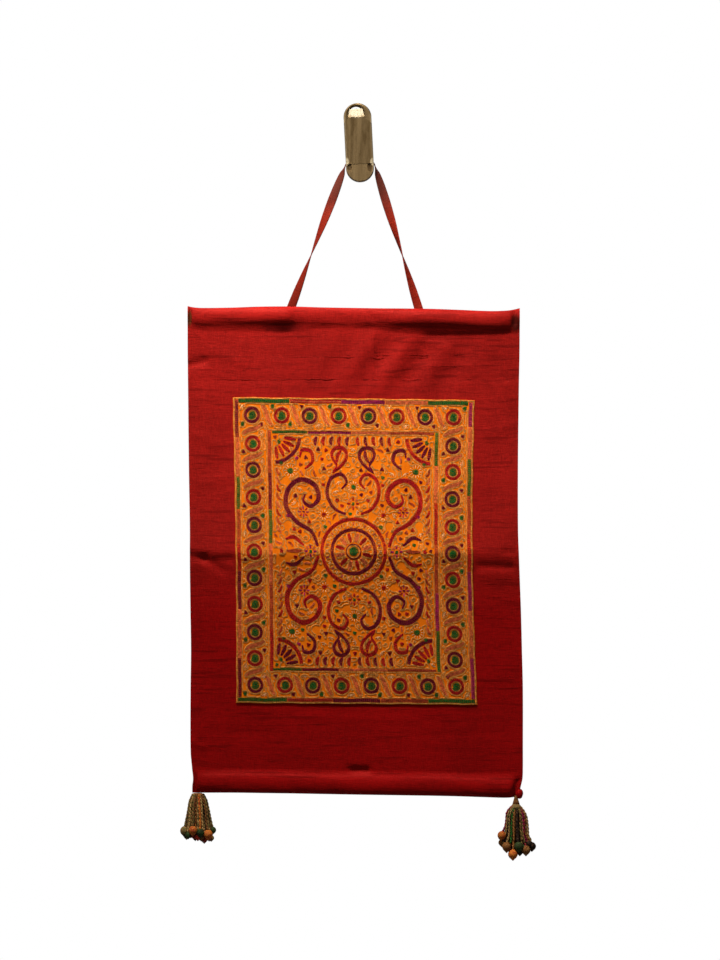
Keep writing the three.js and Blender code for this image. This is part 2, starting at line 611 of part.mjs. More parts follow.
// Cloth ball with a short pointed tip under it
function tasselBall(ball) {
  const r = ball.radius;
  const profile = [
    [0, 1.0], [0.55, 0.84], [0.93, 0.36], [0.97, -0.22], [0.66, -0.76], [0.24, -1.14], [0, -1.42],
  ].map(([x, z]) => new THREE.Vector2(x * r, z * r));
  const geometry = new THREE.LatheGeometry(profile.reverse(), 8);
  geometry.rotateX(Math.PI / 2);
  geometry.translate(ball.across, -ball.forward, -ball.drop);
  return solid(geometry);
}

function tasselBody(tassel) {
  const lowest = tassel.head.at(-1).drop;
  const turned = tassel.head.map((row) => new THREE.Vector2(row.radius, -row.drop));
  const profile = [new THREE.Vector2(0, 0), ...turned, new THREE.Vector2(0, -lowest - 0.4)];
  const head = new THREE.LatheGeometry(profile.reverse(), 12);
  head.rotateX(Math.PI / 2);
  head.scale(1, headDepthShare, 1);
  let body = solid(head);
  for (const ball of tassel.balls) body = body.add(strand(tassel, ball)).add(tasselBall(ball));
  return body.translate([tassel.across, -tassel.forward, -tassel.top]);
}

const part = new THREE.Group();
part.add(
  node('wall_hook', wallHook(), materials.brass),
  node('hanging_ribbon', hangingTape(), materials.tape),
  node('ground_cloth', groundCloth(), materials.silk),
  node('embroidered_panel', embroideredPanel(), materials.orangeCloth),
  node('tassel_left', geometryOf(tasselBody(tasselLeft)), materials.thread),
  node('tassel_right', geometryOf(tasselBody(tasselRight)), materials.thread),
);

export default part;
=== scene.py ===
import math

import bmesh
import bpy
import numpy as np
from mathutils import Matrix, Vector


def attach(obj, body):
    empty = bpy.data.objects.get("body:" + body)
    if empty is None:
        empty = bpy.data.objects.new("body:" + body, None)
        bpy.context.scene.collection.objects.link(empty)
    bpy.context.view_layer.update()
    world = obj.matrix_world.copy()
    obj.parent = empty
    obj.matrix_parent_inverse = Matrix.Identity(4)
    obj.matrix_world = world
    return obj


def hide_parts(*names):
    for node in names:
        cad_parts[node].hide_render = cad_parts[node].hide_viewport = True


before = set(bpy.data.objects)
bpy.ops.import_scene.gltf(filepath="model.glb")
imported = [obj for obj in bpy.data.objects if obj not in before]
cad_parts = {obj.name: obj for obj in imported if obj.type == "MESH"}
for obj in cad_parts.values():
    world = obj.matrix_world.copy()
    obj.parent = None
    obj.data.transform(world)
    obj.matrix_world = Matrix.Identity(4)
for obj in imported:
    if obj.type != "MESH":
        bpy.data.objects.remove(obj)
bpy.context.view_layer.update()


# The view: level and straight on, from well back, with the hanging a little above the picture's middle.
# Nothing here belongs to the object.
picture_height = 960
metres_per_pixel = 0.001025
view_distance = 5.0
view_middle = (0.0013, -0.018, -0.3468)

camera_data = bpy.data.cameras.new("camera")
camera_data.sensor_width = 36
camera_data.lens = 36 * view_distance / (picture_height * metres_per_pixel)
camera_data.clip_end = 40
camera = bpy.data.objects.new("camera", camera_data)
camera.location = (view_middle[0], view_middle[1] - view_distance, view_middle[2])
camera.rotation_euler = (math.pi / 2, 0, 0)
bpy.context.scene.collection.objects.link(camera)
bpy.context.scene.camera = camera
bpy.context.scene.view_settings.view_transform = "Standard"


# The light: a soft lamp high above and a little left, so that it grazes the cloth, a wide weak one in
# front for the cloth, and for the metal a wide card, a low one and two strips. The room is white to the
# eye, dim to the cloth and a little brighter in the metal.
def soft_lamp(name, place, aim, width, height, power, colour=(1, 1, 1), spread=180):
    lamp_data = bpy.data.lights.new(name, "AREA")
    lamp_data.shape = "RECTANGLE"
    lamp_data.size = width
    lamp_data.size_y = height
    lamp_data.energy = power
    lamp_data.color = colour
    lamp_data.spread = math.radians(spread)
    lamp = bpy.data.objects.new(name, lamp_data)
    lamp.location = place
    lamp.rotation_euler = (Vector(aim) - Vector(place)).to_track_quat("-Z", "Y").to_euler()
    lamp.visible_camera = False
    bpy.context.scene.collection.objects.link(lamp)
    return lamp


soft_lamp("top_lamp", (-0.30, -0.66, 1.15), (-0.06, 0, 0), 0.28, 0.2, 4, (1.0, 0.95, 0.88), 40)
front_lamp = soft_lamp("front_lamp", (-0.5, -3.2, 0.6), (0, 0, -0.35), 1.6, 1.2, 3, (1.0, 0.95, 0.9))
front_lamp.visible_glossy = False
metal_card = soft_lamp("metal_card", (-0.4, -3.6, 0.3), (0, 0, 0), 4.5, 3.6, 8, (1.0, 0.97, 0.92))
metal_card.visible_diffuse = False
low_card = soft_lamp("low_card", (0, -2.2, -2.0), (0, 0, 0), 2.5, 1.5, 5, (1.0, 0.97, 0.92))
low_card.visible_diffuse = False
soft_lamp("left_strip", (-1.5, -0.9, 0.3), (0, 0, -0.1), 0.25, 1.4, 3.5, (1.0, 0.95, 0.88))
soft_lamp("right_strip", (1.6, -0.7, 0.2), (0, 0, -0.1), 0.2, 1.4, 2.5, (1.0, 0.95, 0.88))

world = bpy.data.worlds.new("room")
bpy.context.scene.world = world
world.use_nodes = True
room = world.node_tree
room.nodes.clear()
room_seen = room.nodes.new("ShaderNodeBackground")
room_seen.inputs["Color"].default_value = (1, 1, 1, 1)
room_felt = room.nodes.new("ShaderNodeBackground")
room_felt.inputs["Color"].default_value = (1.0, 0.93, 0.86, 1)
room_ray = room.nodes.new("ShaderNodeLightPath")
room_glow = room.nodes.new("ShaderNodeMapRange")
room_glow.inputs["To Min"].default_value = 0.07
room_glow.inputs["To Max"].default_value = 0.2
room.links.new(room_ray.outputs["Is Glossy Ray"], room_glow.inputs["Value"])
room.links.new(room_glow.outputs["Result"], room_felt.inputs["Strength"])
room_mix = room.nodes.new("ShaderNodeMixShader")
room_out = room.nodes.new("ShaderNodeOutputWorld")
room.links.new(room_ray.outputs["Is Camera Ray"], room_mix.inputs["Fac"])
room.links.new(room_felt.outputs[0], room_mix.inputs[1])
room.links.new(room_seen.outputs[0], room_mix.inputs[2])
room.links.new(room_mix.outputs[0], room_out.inputs["Surface"])

# The floor: a plain pale disc, far enough down to stay out of the picture
bpy.ops.object.select_all(action="DESELECT")
bpy.ops.mesh.primitive_cylinder_add(vertices=96, radius=1.2, depth=0.02, location=(0, 0, -1.46))
floor = bpy.context.object
floor.name = "floor"
floor_paint = bpy.data.materials.new("pale_floor")
floor_paint.use_nodes = True
floor_paint.node_tree.nodes["Principled BSDF"].inputs["Base Color"].default_value = (0.8, 0.79, 0.77, 1)
floor_paint.node_tree.nodes["Principled BSDF"].inputs["Roughness"].default_value = 0.9
floor.data.materials.append(floor_paint)


# The wall hook: cast brass, 29 by 81 mm, with round ends. A slot behind its front lip takes the tape,
# and an eye in the back plate's arch takes a nail. The foot is set back a little below the lip.
mm = 0.001
hook = {
    "half": 14.35 * mm, "height": 81.5 * mm, "depth": 17 * mm, "edge": 1.8 * mm, "lean": 2.8,
    "slot_back": 3.5 * mm, "slot_front": 13 * mm, "floor": -21.2 * mm, "floor_corner": 4.4 * mm,
    "eye_half": 7.4 * mm, "eye_middle": 29.7 * mm, "eye_aside": -1.3 * mm,
    "lip_shoulder": 19 * mm, "tongue_foot": 24 * mm, "tongue_top": 34 * mm,
    "tongue_foot_half": 8.9 * mm, "tongue_top_half": 6.6 * mm, "tongue_slope": 2.2 * mm,
    "tongue_aside": -1.3 * mm, "foot_line": -22.5 * mm, "foot_step": 0.35 * mm,
}


def only(piece):
    bpy.ops.object.select_all(action="DESELECT")
    piece.select_set(True)
    bpy.context.view_layer.objects.active = piece


def settle(name):
    piece = bpy.context.object
    piece.name = name
    piece.data.name = name
    bpy.ops.object.transform_apply(location=True, rotation=True, scale=True)
    return piece


def edit(piece, kind, wanted):
    only(piece)
    bpy.ops.object.mode_set(mode="EDIT")
    bpy.ops.mesh.select_mode(type=kind)
    bpy.ops.mesh.select_all(action="DESELECT")
    shape = bmesh.from_edit_mesh(piece.data)
    parts = {"VERT": shape.verts, "EDGE": shape.edges, "FACE": shape.faces}[kind]
    for part in parts:
        corners = [part.co] if kind == "VERT" else [corner.co for corner in part.verts]
        if all(wanted(corner) for corner in corners):
            part.select_set(True)
    shape.select_flush_mode()
    bmesh.update_edit_mesh(piece.data)


def done():
    bpy.ops.object.mode_set(mode="OBJECT")


def slide(distance):
    bpy.ops.transform.translate(value=distance)


def bar_shape(name, left, right, back, front, bottom, top):
    bpy.ops.object.select_all(action="DESELECT")
    middle = ((left + right) / 2, -(back + front) / 2, (bottom + top) / 2)
    bpy.ops.mesh.primitive_cube_add(size=1, location=middle)
    bpy.context.object.scale = (right - left, front - back, top - bottom)
    return settle(name)


def carve(piece, cutter):
    only(piece)
    cut = piece.modifiers.new("cut", "BOOLEAN")
    cut.operation = "DIFFERENCE"
    cut.solver = "EXACT"
    cut.object = cutter
    bpy.ops.object.modifier_apply(modifier=cut.name)
    bpy.data.objects.remove(cutter)


bpy.ops.object.select_all(action="DESELECT")
bpy.ops.mesh.primitive_cylinder_add(
    vertices=50, radius=hook["half"], depth=hook["depth"],
    location=(0, -hook["depth"] / 2, 0), rotation=(math.pi / 2, 0, 0))
brass_hook = settle("brass_hook")
straight = hook["height"] / 2 - hook["half"]
edit(brass_hook, "VERT", lambda place: place.z > 0)
slide((0, 0, straight))
bpy.ops.mesh.select_all(action="INVERT")
slide((0, 0, -straight))
done()
edit(brass_hook, "EDGE", lambda place: place.y < -hook["depth"] + 0.01 * mm)
bpy.ops.mesh.bevel(offset=hook["edge"], segments=4, affect="EDGES")
done()
edit(brass_hook, "EDGE", lambda place: place.y > -0.01 * mm)
bpy.ops.mesh.bevel(offset=1.0 * mm, segments=3, affect="EDGES")
done()

past = 60 * mm
slot_cut = bar_shape("slot_cut", -past, past, hook["slot_back"], hook["slot_front"], hook["floor"], past)
carve(brass_hook, slot_cut)
edit(brass_hook, "EDGE", lambda place: (
    abs(place.z - hook["floor"]) < 0.05 * mm and abs(place.x) > hook["half"] - 0.4 * mm
    and -hook["slot_front"] - 0.1 * mm < place.y < -hook["slot_back"] + 0.1 * mm))
bpy.ops.mesh.bevel(offset=hook["floor_corner"], segments=5, affect="EDGES")
done()

bpy.ops.object.select_all(action="DESELECT")
bpy.ops.mesh.primitive_cylinder_add(
    vertices=50, radius=hook["eye_half"], depth=12 * mm,
    location=(hook["eye_aside"], 0, hook["eye_middle"]), rotation=(math.pi / 2, 0, 0))
eye_cut = settle("eye_cut")
edit(eye_cut, "VERT", lambda place: place.z < hook["eye_middle"])
slide((0, 0, -6 * mm))
done()
carve(brass_hook, eye_cut)


# The plate round the eye is a rounded bar: its front edges fall away, inwards most
def from_middle(place, low, top, aside=0):
    return math.hypot(place.x - aside, place.z - min(max(place.z, low), top))


eye_low = hook["eye_middle"] - 6 * mm
edit(brass_hook, "EDGE", lambda place: (
    abs(place.y + hook["slot_back"]) < 0.05 * mm and place.z > eye_low - hook["eye_half"] - 0.1 * mm
    and abs(
        from_middle(place, eye_low, hook["eye_middle"], hook["eye_aside"]) - hook["eye_half"]) < 0.1 * mm))
bpy.ops.mesh.bevel(offset=2.8 * mm, segments=5, affect="EDGES")
done()
edit(brass_hook, "EDGE", lambda place: (
    abs(place.y + hook["slot_back"]) < 0.05 * mm and place.z > -10 * mm
    and abs(from_middle(place, 0, straight) - hook["half"]) < 0.1 * mm))
bpy.ops.mesh.bevel(offset=1.6 * mm, segments=4, affect="EDGES")
done()

lip_back = hook["slot_front"] - 2 * mm
above_cut = bar_shape("above_cut", -past, past, lip_back, 30 * mm, hook["tongue_top"], past)
carve(brass_hook, above_cut)
for side in (-1, 1):
    inner, outer = hook["tongue_aside"] + side * hook["tongue_foot_half"], side * 20 * mm
    shoulder_cut = bar_shape(
        "shoulder_cut", min(inner, outer), max(inner, outer), lip_back, 30 * mm, hook["tongue_foot"], past)
    edit(shoulder_cut, "VERT", lambda place: abs(place.x) < 12 * mm and place.z > 30 * mm)
    run = (past - hook["tongue_foot"]) / (hook["tongue_top"] - hook["tongue_foot"])
    slide((-side * run * (hook["tongue_foot_half"] - hook["tongue_top_half"]), 0, 0))
    done()
    edit(shoulder_cut, "VERT", lambda place: abs(place.x) > 12 * mm and place.z < 30 * mm)
    slide((0, 0, hook["lip_shoulder"] - hook["tongue_foot"] - 5 * mm))
    done()
    carve(brass_hook, shoulder_cut)

slope_cut = bar_shape(
    "slope_cut", -past, past, hook["depth"], 30 * mm,
    hook["tongue_foot"] + 1.5 * mm, hook["tongue_top"] + mm)
edit(slope_cut, "VERT", lambda place: place.y > -20 * mm and place.z > 30 * mm)
slide((0, hook["tongue_slope"], 0))
done()
carve(brass_hook, slope_cut)

foot_cut = bar_shape(
    "foot_cut", -past, past, hook["depth"] - hook["foot_step"], 30 * mm, -past, hook["foot_line"])
carve(brass_hook, foot_cut)
dimple_across, dimple_aside, dimple_down, dimple_half = 10.5, -0.3, 26.2, (2.8, 1.3, 3.9)
for side in (-1, 1):
    bpy.ops.object.select_all(action="DESELECT")
    bpy.ops.mesh.primitive_uv_sphere_add(segments=20, ring_count=12, radius=mm)
    dimple_cut = bpy.context.object
    dimple_cut.location = (
        (side * dimple_across + dimple_aside) * mm, -hook["depth"], -dimple_down * mm)
    dimple_cut.scale = dimple_half
    settle("dimple_cut")
    carve(brass_hook, dimple_cut)

# Every cut edge is worn soft, and the whole hook hangs leaning to the left
only(brass_hook)
soft_edges = brass_hook.modifiers.new("soft_edges", "BEVEL")
soft_edges.width = 0.4 * mm
soft_edges.segments = 2
soft_edges.limit_method = "ANGLE"
soft_edges.angle_limit = math.radians(35)
bpy.ops.object.modifier_apply(modifier=soft_edges.name)
brass_hook.rotation_euler = (0, -math.radians(hook["lean"]), 0)
bpy.ops.object.transform_apply(location=True, rotation=True, scale=True)
bpy.ops.object.shade_smooth_by_angle(angle=math.radians(40))
flat_faces = brass_hook.modifiers.new("flat_faces", "WEIGHTED_NORMAL")
flat_faces.keep_sharp = True
flat_faces.weight = 100
bpy.ops.object.modifier_apply(modifier=flat_faces.name)


# Steps that paint the finishes: each takes the part of a finish before it and hands on the next
def feed(tree, target, source):
    if isinstance(source, bpy.types.NodeSocket):
        tree.links.new(source, target)
    elif hasattr(target.default_value, "__len__") and len(target.default_value) == 4 and len(source) == 3:
        target.default_value = (*source, 1)
    else:
        target.default_value = source


def calc(tree, operation, first, second=0.0, third=0.0):
    step = tree.nodes.new("ShaderNodeMath")
    step.operation = operation
    for target, source in zip(step.inputs, (first, second, third)):
        feed(tree, target, source)
    return step.outputs[0]


def stretched(tree, place, stretch):
    step = tree.nodes.new("ShaderNodeVectorMath")
    step.operation = "MULTIPLY"
    feed(tree, step.inputs[0], place)
    step.inputs[1].default_value = stretch
    return step.outputs[0]


def cloudy(tree, place, stretch, detail=2.0, roughness=0.5):
    step = tree.nodes.new("ShaderNodeTexNoise")
    step.inputs["Scale"].default_value = 1.0
    step.inputs["Detail"].default_value = detail
    step.inputs["Roughness"].default_value = roughness
    feed(tree, step.inputs["Vector"], stretched(tree, place, stretch))
    return step.outputs["Fac"]


def between(tree, value, low, high, first=0.0, last=1.0):
    step = tree.nodes.new("ShaderNodeMapRange")
    step.interpolation_type = "SMOOTHSTEP"
    feed(tree, step.inputs["Value"], value)
    step.inputs["From Min"].default_value = low
    step.inputs["From Max"].default_value = high
    step.inputs["To Min"].default_value = first
    step.inputs["To Max"].default_value = last
    return step.outputs["Result"]


def mixed(tree, share, first, second, way="MIX"):
    step = tree.nodes.new("ShaderNodeMix")
    step.data_type = "RGBA"
    step.blend_type = way
    feed(tree, step.inputs[0], share)
    feed(tree, step.inputs[6], first)
    feed(tree, step.inputs[7], second)
    return step.outputs[2]


def raised(tree, height, distance, strength=1.0):
    step = tree.nodes.new("ShaderNodeBump")
    step.inputs["Strength"].default_value = strength
    step.inputs["Distance"].default_value = distance
    feed(tree, step.inputs["Height"], height)
    return step.outputs["Normal"]


def finish_of(name):
    material = bpy.data.materials.new(name)
    material.use_nodes = True
    tree = material.node_tree
    return material, tree, tree.nodes["Principled BSDF"]


# How near a place is to the middle of an oval spot: 1 well inside it and 0 outside
def spot_on(tree, place, middle, half):
    away = tree.nodes.new("ShaderNodeVectorMath")
    away.operation = "SUBTRACT"
    feed(tree, away.inputs[0], place)
    away.inputs[1].default_value = middle
    reach = tree.nodes.new("ShaderNodeVectorMath")
    reach.operation = "LENGTH"
    feed(tree, reach.inputs[0], stretched(tree, away.outputs[0], [1 / side for side in half]))
    return between(tree, reach.outputs["Value"], 0.45, 1.0, 1, 0)


# Old brass: brown and gold in soft clouds that run down the casting. A painted glint, partly worn bright,
# sits where the tape leaves the slot's floor, a painted highlight lies on the tongue, painted highlight
# strips run down both side edges, and painted shade sits in the two dimples below.
brass, tree, shader = finish_of("old_brass")
place = tree.nodes.new("ShaderNodeTexCoord").outputs["Object"]
clouds = cloudy(tree, place, (210, 210, 46), 4.0, 0.6)
streaks = cloudy(tree, place, (260, 200, 14), 2.0, 0.5)
specks = cloudy(tree, place, (1500, 1500, 900), 2.0, 0.6)
worn = calc(tree, "ADD", calc(tree, "MULTIPLY", clouds, 0.6), calc(tree, "MULTIPLY", streaks, 0.4))
worn = between(tree, worn, 0.36, 0.66)
metal = mixed(tree, worn, (0.085, 0.054, 0.0225), (0.235, 0.162, 0.078))
metal = mixed(tree, between(tree, specks, 0.55, 0.72, 0, 0.25), metal, (0.08, 0.05, 0.02))
# painted glint on the slot floor's two corners, partly worn bright where the tape leaves the slot
rubbed_glint = calc(tree, "MAXIMUM", *(
    spot_on(tree, place, (over * mm, -15 * mm, -20.5 * mm), (3 * mm, 9 * mm, 5 * mm))
    for over in (-12.4, 14.2)))
# painted shade in the two dimples
dimple_shade = calc(tree, "MAXIMUM", *(
    spot_on(tree, place, (over * mm, -17 * mm, -26.2 * mm), (4.2 * mm, 5 * mm, 6.6 * mm))
    for over in (-9.5, 11.5)))
# painted highlight on the tongue, in place of a reflected lamp
tongue_highlight = spot_on(tree, place, (-2.7 * mm, -17 * mm, 31.5 * mm), (13 * mm, 7 * mm, 8.5 * mm))
split = tree.nodes.new("ShaderNodeSeparateXYZ")
tree.links.new(place, split.inputs[0])
# painted highlight strips down both side edges of the hook
upright = calc(tree, "ADD", split.outputs["X"], calc(tree, "MULTIPLY", split.outputs["Z"], 0.0489))
edges = between(tree, calc(tree, "ABSOLUTE", upright), 0.0119, 0.0141, 0, 0.7)
metal = mixed(tree, edges, metal, (0.42, 0.33, 0.20))
metal = mixed(tree, between(tree, split.outputs["Z"], -0.0235, -0.0215, 0.2, 0), metal, (0.42, 0.29, 0.14))
metal = mixed(tree, rubbed_glint, metal, (0.95, 0.80, 0.52))
metal = mixed(tree, tongue_highlight, metal, (0.27, 0.235, 0.17))
metal = mixed(tree, calc(tree, "MULTIPLY", dimple_shade, 0.8), metal, (0.06, 0.036, 0.016))
feed(tree, shader.inputs["Base Color"], metal)
shader.inputs["Metallic"].default_value = 1.0
dullness = between(tree, clouds, 0.3, 0.7, 0.52, 0.42)
dullness = calc(tree, "SUBTRACT", dullness, calc(tree, "MULTIPLY", rubbed_glint, 0.15))
feed(tree, shader.inputs["Roughness"], calc(tree, "ADD", dullness, calc(tree, "MULTIPLY", dimple_shade, 0.4)))
grain = calc(tree, "ADD", specks, calc(tree, "MULTIPLY", clouds, 1.5))
feed(tree, shader.inputs["Normal"], raised(tree, grain, 0.0001))
brass_hook.data.materials.clear()
brass_hook.data.materials.append(brass)
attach(brass_hook, "root")
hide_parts("wall_hook")


# The hanging tape: one flat strip of red silk, 9 mm wide, folded double and pressed. It lies on the
# slot's floor, and both its ends are sewn behind the top sleeve. The right leg turns one way all along,
# and the left one faces out, turns back to its edge and faces out again.
tape_width, tape_thick = 8.9, 1.1
tape_slot_forward = 8.25

# down, turn about its own run in degrees, forward of the wall
tape_turns = np.array([
    (23.0, -90, 8.25), (26.0, -86, 8.25), (28.5, -76, 8.2), (32.0, -56, 8.1), (43.0, -31, 8.0),
    (60.0, 0, 7.9), (80.0, 33, 7.7), (93.0, 55, 7.5), (105.0, 73, 7.3), (117.0, 92, 7.0),
    (130.0, 114, 6.4), (142.0, 132, 5.2), (154.0, 152, 3.9), (166.0, 172, 2.5), (172.0, 180, 2.1),
    (179.5, 180, 1.9), (187.0, 180, 2.2),
])
# side, across, down
tape_feet = ((-1, -68.9, 168.0), (1, 60.8, 168.0))


def along(table, column, at):
    places, values = table[:, 0], table[:, column]
    last = len(places) - 1
    at = np.clip(at, places[0], places[-1])
    i = np.clip(np.searchsorted(places, at, side="right") - 1, 0, last - 1)
    before, after = np.maximum(i - 1, 0), np.minimum(i + 2, last)
    step = places[i + 1] - places[i]
    t = (at - places[i]) / step
    rise = values[i + 1] - values[i]
    start = (values[i + 1] - values[before]) / (places[i + 1] - places[before]) * step
    end = (values[after] - values[i]) / (places[after] - places[i]) * step
    return values[i] + start * t + (3 * rise - 2 * start - end) * t**2 + (start + end - 2 * rise) * t**3


def mesh_piece(name, points, faces, finishes, finish_index=None):
    mesh = bpy.data.meshes.new(name)
    points = np.asarray(points, np.float32)
    faces = np.asarray(faces, np.int32)
    sides = faces.shape[1]
    mesh.vertices.add(len(points))
    mesh.vertices.foreach_set("co", points.ravel())
    mesh.loops.add(faces.size)
    mesh.loops.foreach_set("vertex_index", faces.ravel())
    mesh.polygons.add(len(faces))
    mesh.polygons.foreach_set("loop_start", np.arange(0, faces.size, sides, dtype=np.int32))
    mesh.polygons.foreach_set("use_smooth", np.ones(len(faces), bool))
    for finish in finishes:
        mesh.materials.append(finish)
    if finish_index is not None:
        mesh.polygons.foreach_set("material_index", np.asarray(finish_index, np.int32))
    mesh.update(calc_edges=True)
    mesh.validate()
    piece = bpy.data.objects.new(name, mesh)
    bpy.context.scene.collection.objects.link(piece)
    return piece


def tape_line():
    line_down = -hook["floor"] / mm - 0.525 - 0.6
    bend_radius = 4.5 + 0.525 + 0.6
    lean = math.radians(hook["lean"])
    legs = []
    for side, foot_across, foot_down in tape_feet:
        middle = Vector((side * (hook["half"] / mm - 4.5), -line_down - bend_radius))
        turned = Vector((
            middle.x * math.cos(lean) - middle.y * math.sin(lean),
            middle.x * math.sin(lean) + middle.y * math.cos(lean)))
        to_foot = Vector((foot_across, -foot_down)) - turned
        leave = math.atan2(to_foot.y, to_foot.x) + side * math.acos(bend_radius / to_foot.length)
        up = math.pi / 2 + lean
        while side > 0 and leave > up:
            leave -= 2 * math.pi
        while side < 0 and leave < up:
            leave += 2 * math.pi
        stations = []
        for share in np.linspace(0.03, 0.9, 9):
            angle = up + (leave - up) * share
            stations.append((
                turned.x + bend_radius * math.cos(angle), tape_slot_forward,
                -(turned.y + bend_radius * math.sin(angle)), -90.0))
        from_across = turned.x + bend_radius * math.cos(leave)
        from_down = -(turned.y + bend_radius * math.sin(leave))
        for down in np.linspace(from_down, 187, 84):
            share = (down - from_down) / (foot_down - from_down)
            across = from_across + (foot_across - from_across) * share
            forward, turn = (float(along(tape_turns, column, down)) for column in (2, 1))
            if side < 0:
                turn = -abs(turn) if turn < 90 else turn - 180
            stations.append((across, forward, down, turn))
        legs.append(stations)
    return np.array(legs[0][::-1] + legs[1])


stations = tape_line()
runs = np.gradient(stations[:, :3] * (1, -1, -1), axis=0)
runs /= np.linalg.norm(runs, axis=1)[:, None]
facing = np.array([0, -1, 0]) - runs * (runs @ np.array([0, -1, 0]))[:, None]
facing /= np.linalg.norm(facing, axis=1)[:, None]
beside = np.cross(facing, runs)
turn = np.radians(stations[:, 3])[:, None]
wide = beside * np.cos(turn) + facing * np.sin(turn)
flat = np.cross(wide, runs)
# share of the half width, share of the half thickness, round the strip
tape_section = np.array([
    (-1.0, 0.0), (-0.97, -0.8), (-0.88, -1.0), (-0.5, -0.86), (0.0, -0.8), (0.5, -0.86), (0.88, -1.0),
    (0.97, -0.8), (1.0, 0.0), (0.97, 0.8), (0.88, 1.0), (0.5, 0.86), (0.0, 0.8), (-0.5, 0.86),
    (-0.88, 1.0), (-0.97, 0.8),
])
ring_size = len(tape_section)
line = stations[:, :3] * (1, -1, -1)
tape_points = (
    line[:, None] + wide[:, None] * tape_section[None, :, :1] * tape_width / 2
    + flat[:, None] * tape_section[None, :, 1:] * tape_thick / 2)
count = len(stations)
base = np.arange(count - 1)[:, None] * ring_size + np.arange(ring_size)[None]
following = np.arange(count - 1)[:, None] * ring_size + (np.arange(ring_size)[None] + 1) % ring_size
tape_faces = np.stack([base, base + ring_size, following + ring_size, following], -1).reshape(-1, 4)


# Red silk with slubs: uneven cross threads that run from side to side, with a fine warp between them.
# Position comes in as metres along the cross threads, through the cloth and across the cross threads.
slub_weave = bpy.data.node_groups.new("slub_weave", "ShaderNodeTree")
slub_weave.interface.new_socket("Position", in_out="INPUT", socket_type="NodeSocketVector")
slub_weave.interface.new_socket("Threads per Metre", in_out="INPUT", socket_type="NodeSocketFloat")
slub_weave.interface.new_socket("Shade", in_out="OUTPUT", socket_type="NodeSocketFloat")
slub_weave.interface.new_socket("Height", in_out="OUTPUT", socket_type="NodeSocketFloat")
tree = slub_weave
weave_in = tree.nodes.new("NodeGroupInput")
weave_out = tree.nodes.new("NodeGroupOutput")
position = weave_in.outputs["Position"]
fine = cloudy(tree, position, (130, 1000, 1000), 2.0, 0.65)
middling = cloudy(tree, position, (34, 420, 420), 2.0, 0.6)
thick = between(tree, cloudy(tree, position, (17, 250, 250), 1.0, 0.4), 0.60, 0.72)
warp = cloudy(tree, position, (900, 900, 140), 2.0, 0.65)
clouds = cloudy(tree, position, (14, 14, 22), 3.0, 0.55)
split = tree.nodes.new("ShaderNodeSeparateXYZ")
tree.links.new(position, split.inputs[0])
turns = calc(tree, "MULTIPLY", weave_in.outputs["Threads per Metre"], 2 * math.pi)
weft_wave = calc(tree, "SINE", calc(tree, "MULTIPLY", split.outputs["Z"], turns))
warp_wave = calc(tree, "SINE", calc(tree, "MULTIPLY", split.outputs["X"], turns))
threads = calc(tree, "MULTIPLY", weft_wave, warp_wave)
height = calc(tree, "ADD", calc(tree, "MULTIPLY", fine, 0.8), calc(tree, "MULTIPLY", middling, 0.22))
height = calc(tree, "ADD", height, calc(tree, "MULTIPLY", thick, 0.2))
height = calc(tree, "ADD", height, calc(tree, "MULTIPLY", threads, 0.06))
height = calc(tree, "ADD", height, calc(tree, "MULTIPLY", warp, 0.6))
tree.links.new(height, weave_out.inputs["Height"])
shade = calc(tree, "ADD", calc(tree, "MULTIPLY", fine, 0.35), calc(tree, "MULTIPLY", middling, 0.2))
shade = calc(tree, "ADD", shade, calc(tree, "MULTIPLY", warp, 0.3))
shade = calc(tree, "ADD", shade, calc(tree, "MULTIPLY", clouds, 0.25))
shade = calc(tree, "SUBTRACT", shade, calc(tree, "MULTIPLY", thick, 0.16))
tree.links.new(shade, weave_out.inputs["Shade"])


def red_silk_finish(name, on_uv, dark, light, marks):
    material, tree, shader = finish_of(name)
    source = tree.nodes.new("ShaderNodeTexCoord").outputs["UV" if on_uv else "Object"]
    weave = tree.nodes.new("ShaderNodeGroup")
    weave.node_tree = slub_weave
    tree.links.new(source, weave.inputs["Position"])
    weave.inputs["Threads per Metre"].default_value = 1150
    tone = between(tree, weave.outputs["Shade"], 0.36, 0.72)
    run = tree.nodes.new("ShaderNodeSeparateXYZ")
    tree.links.new(source, run.inputs[0])
    paint = marks(tree, source, run, mixed(tree, tone, dark, light))
    feed(tree, shader.inputs["Base Color"], paint)
    feed(tree, shader.inputs["Roughness"], between(tree, tone, 0, 1, 0.66, 0.52))
    feed(tree, shader.inputs["Normal"], raised(tree, weave.outputs["Height"], 0.0004, 0.75))
    shader.inputs["Specular IOR Level"].default_value = 0.14
    shader.inputs["Specular Tint"].default_value = (1.0, 0.22, 0.15, 1)
    return material


tape_run = np.concatenate([[0], np.cumsum(np.linalg.norm(np.diff(line, axis=0), axis=1))]) * mm
over_hook = float(tape_run[len(tape_run) // 2])


# Painted shade darkens the tape beside the hook, more on the left, and darkens all its left leg
def tape_painted_shade(tree, source, run, paint):
    hook_shade_middle = over_hook - 0.010
    from_middle = calc(tree, "ABSOLUTE", calc(tree, "SUBTRACT", run.outputs["Y"], hook_shade_middle))
    # painted shade of the hook on the tape near it
    hook_shade = between(tree, from_middle, 0.040, 0.085, 0.95, 0)
    paint = mixed(tree, hook_shade, paint, (0.062, 0.016, 0.011))
    # painted shade over all the left leg
    left_leg_shade = between(tree, run.outputs["Y"], hook_shade_middle - 0.085, hook_shade_middle - 0.055, 0.45, 0)
    return mixed(tree, left_leg_shade, paint, (0.020, 0.002, 0.001))


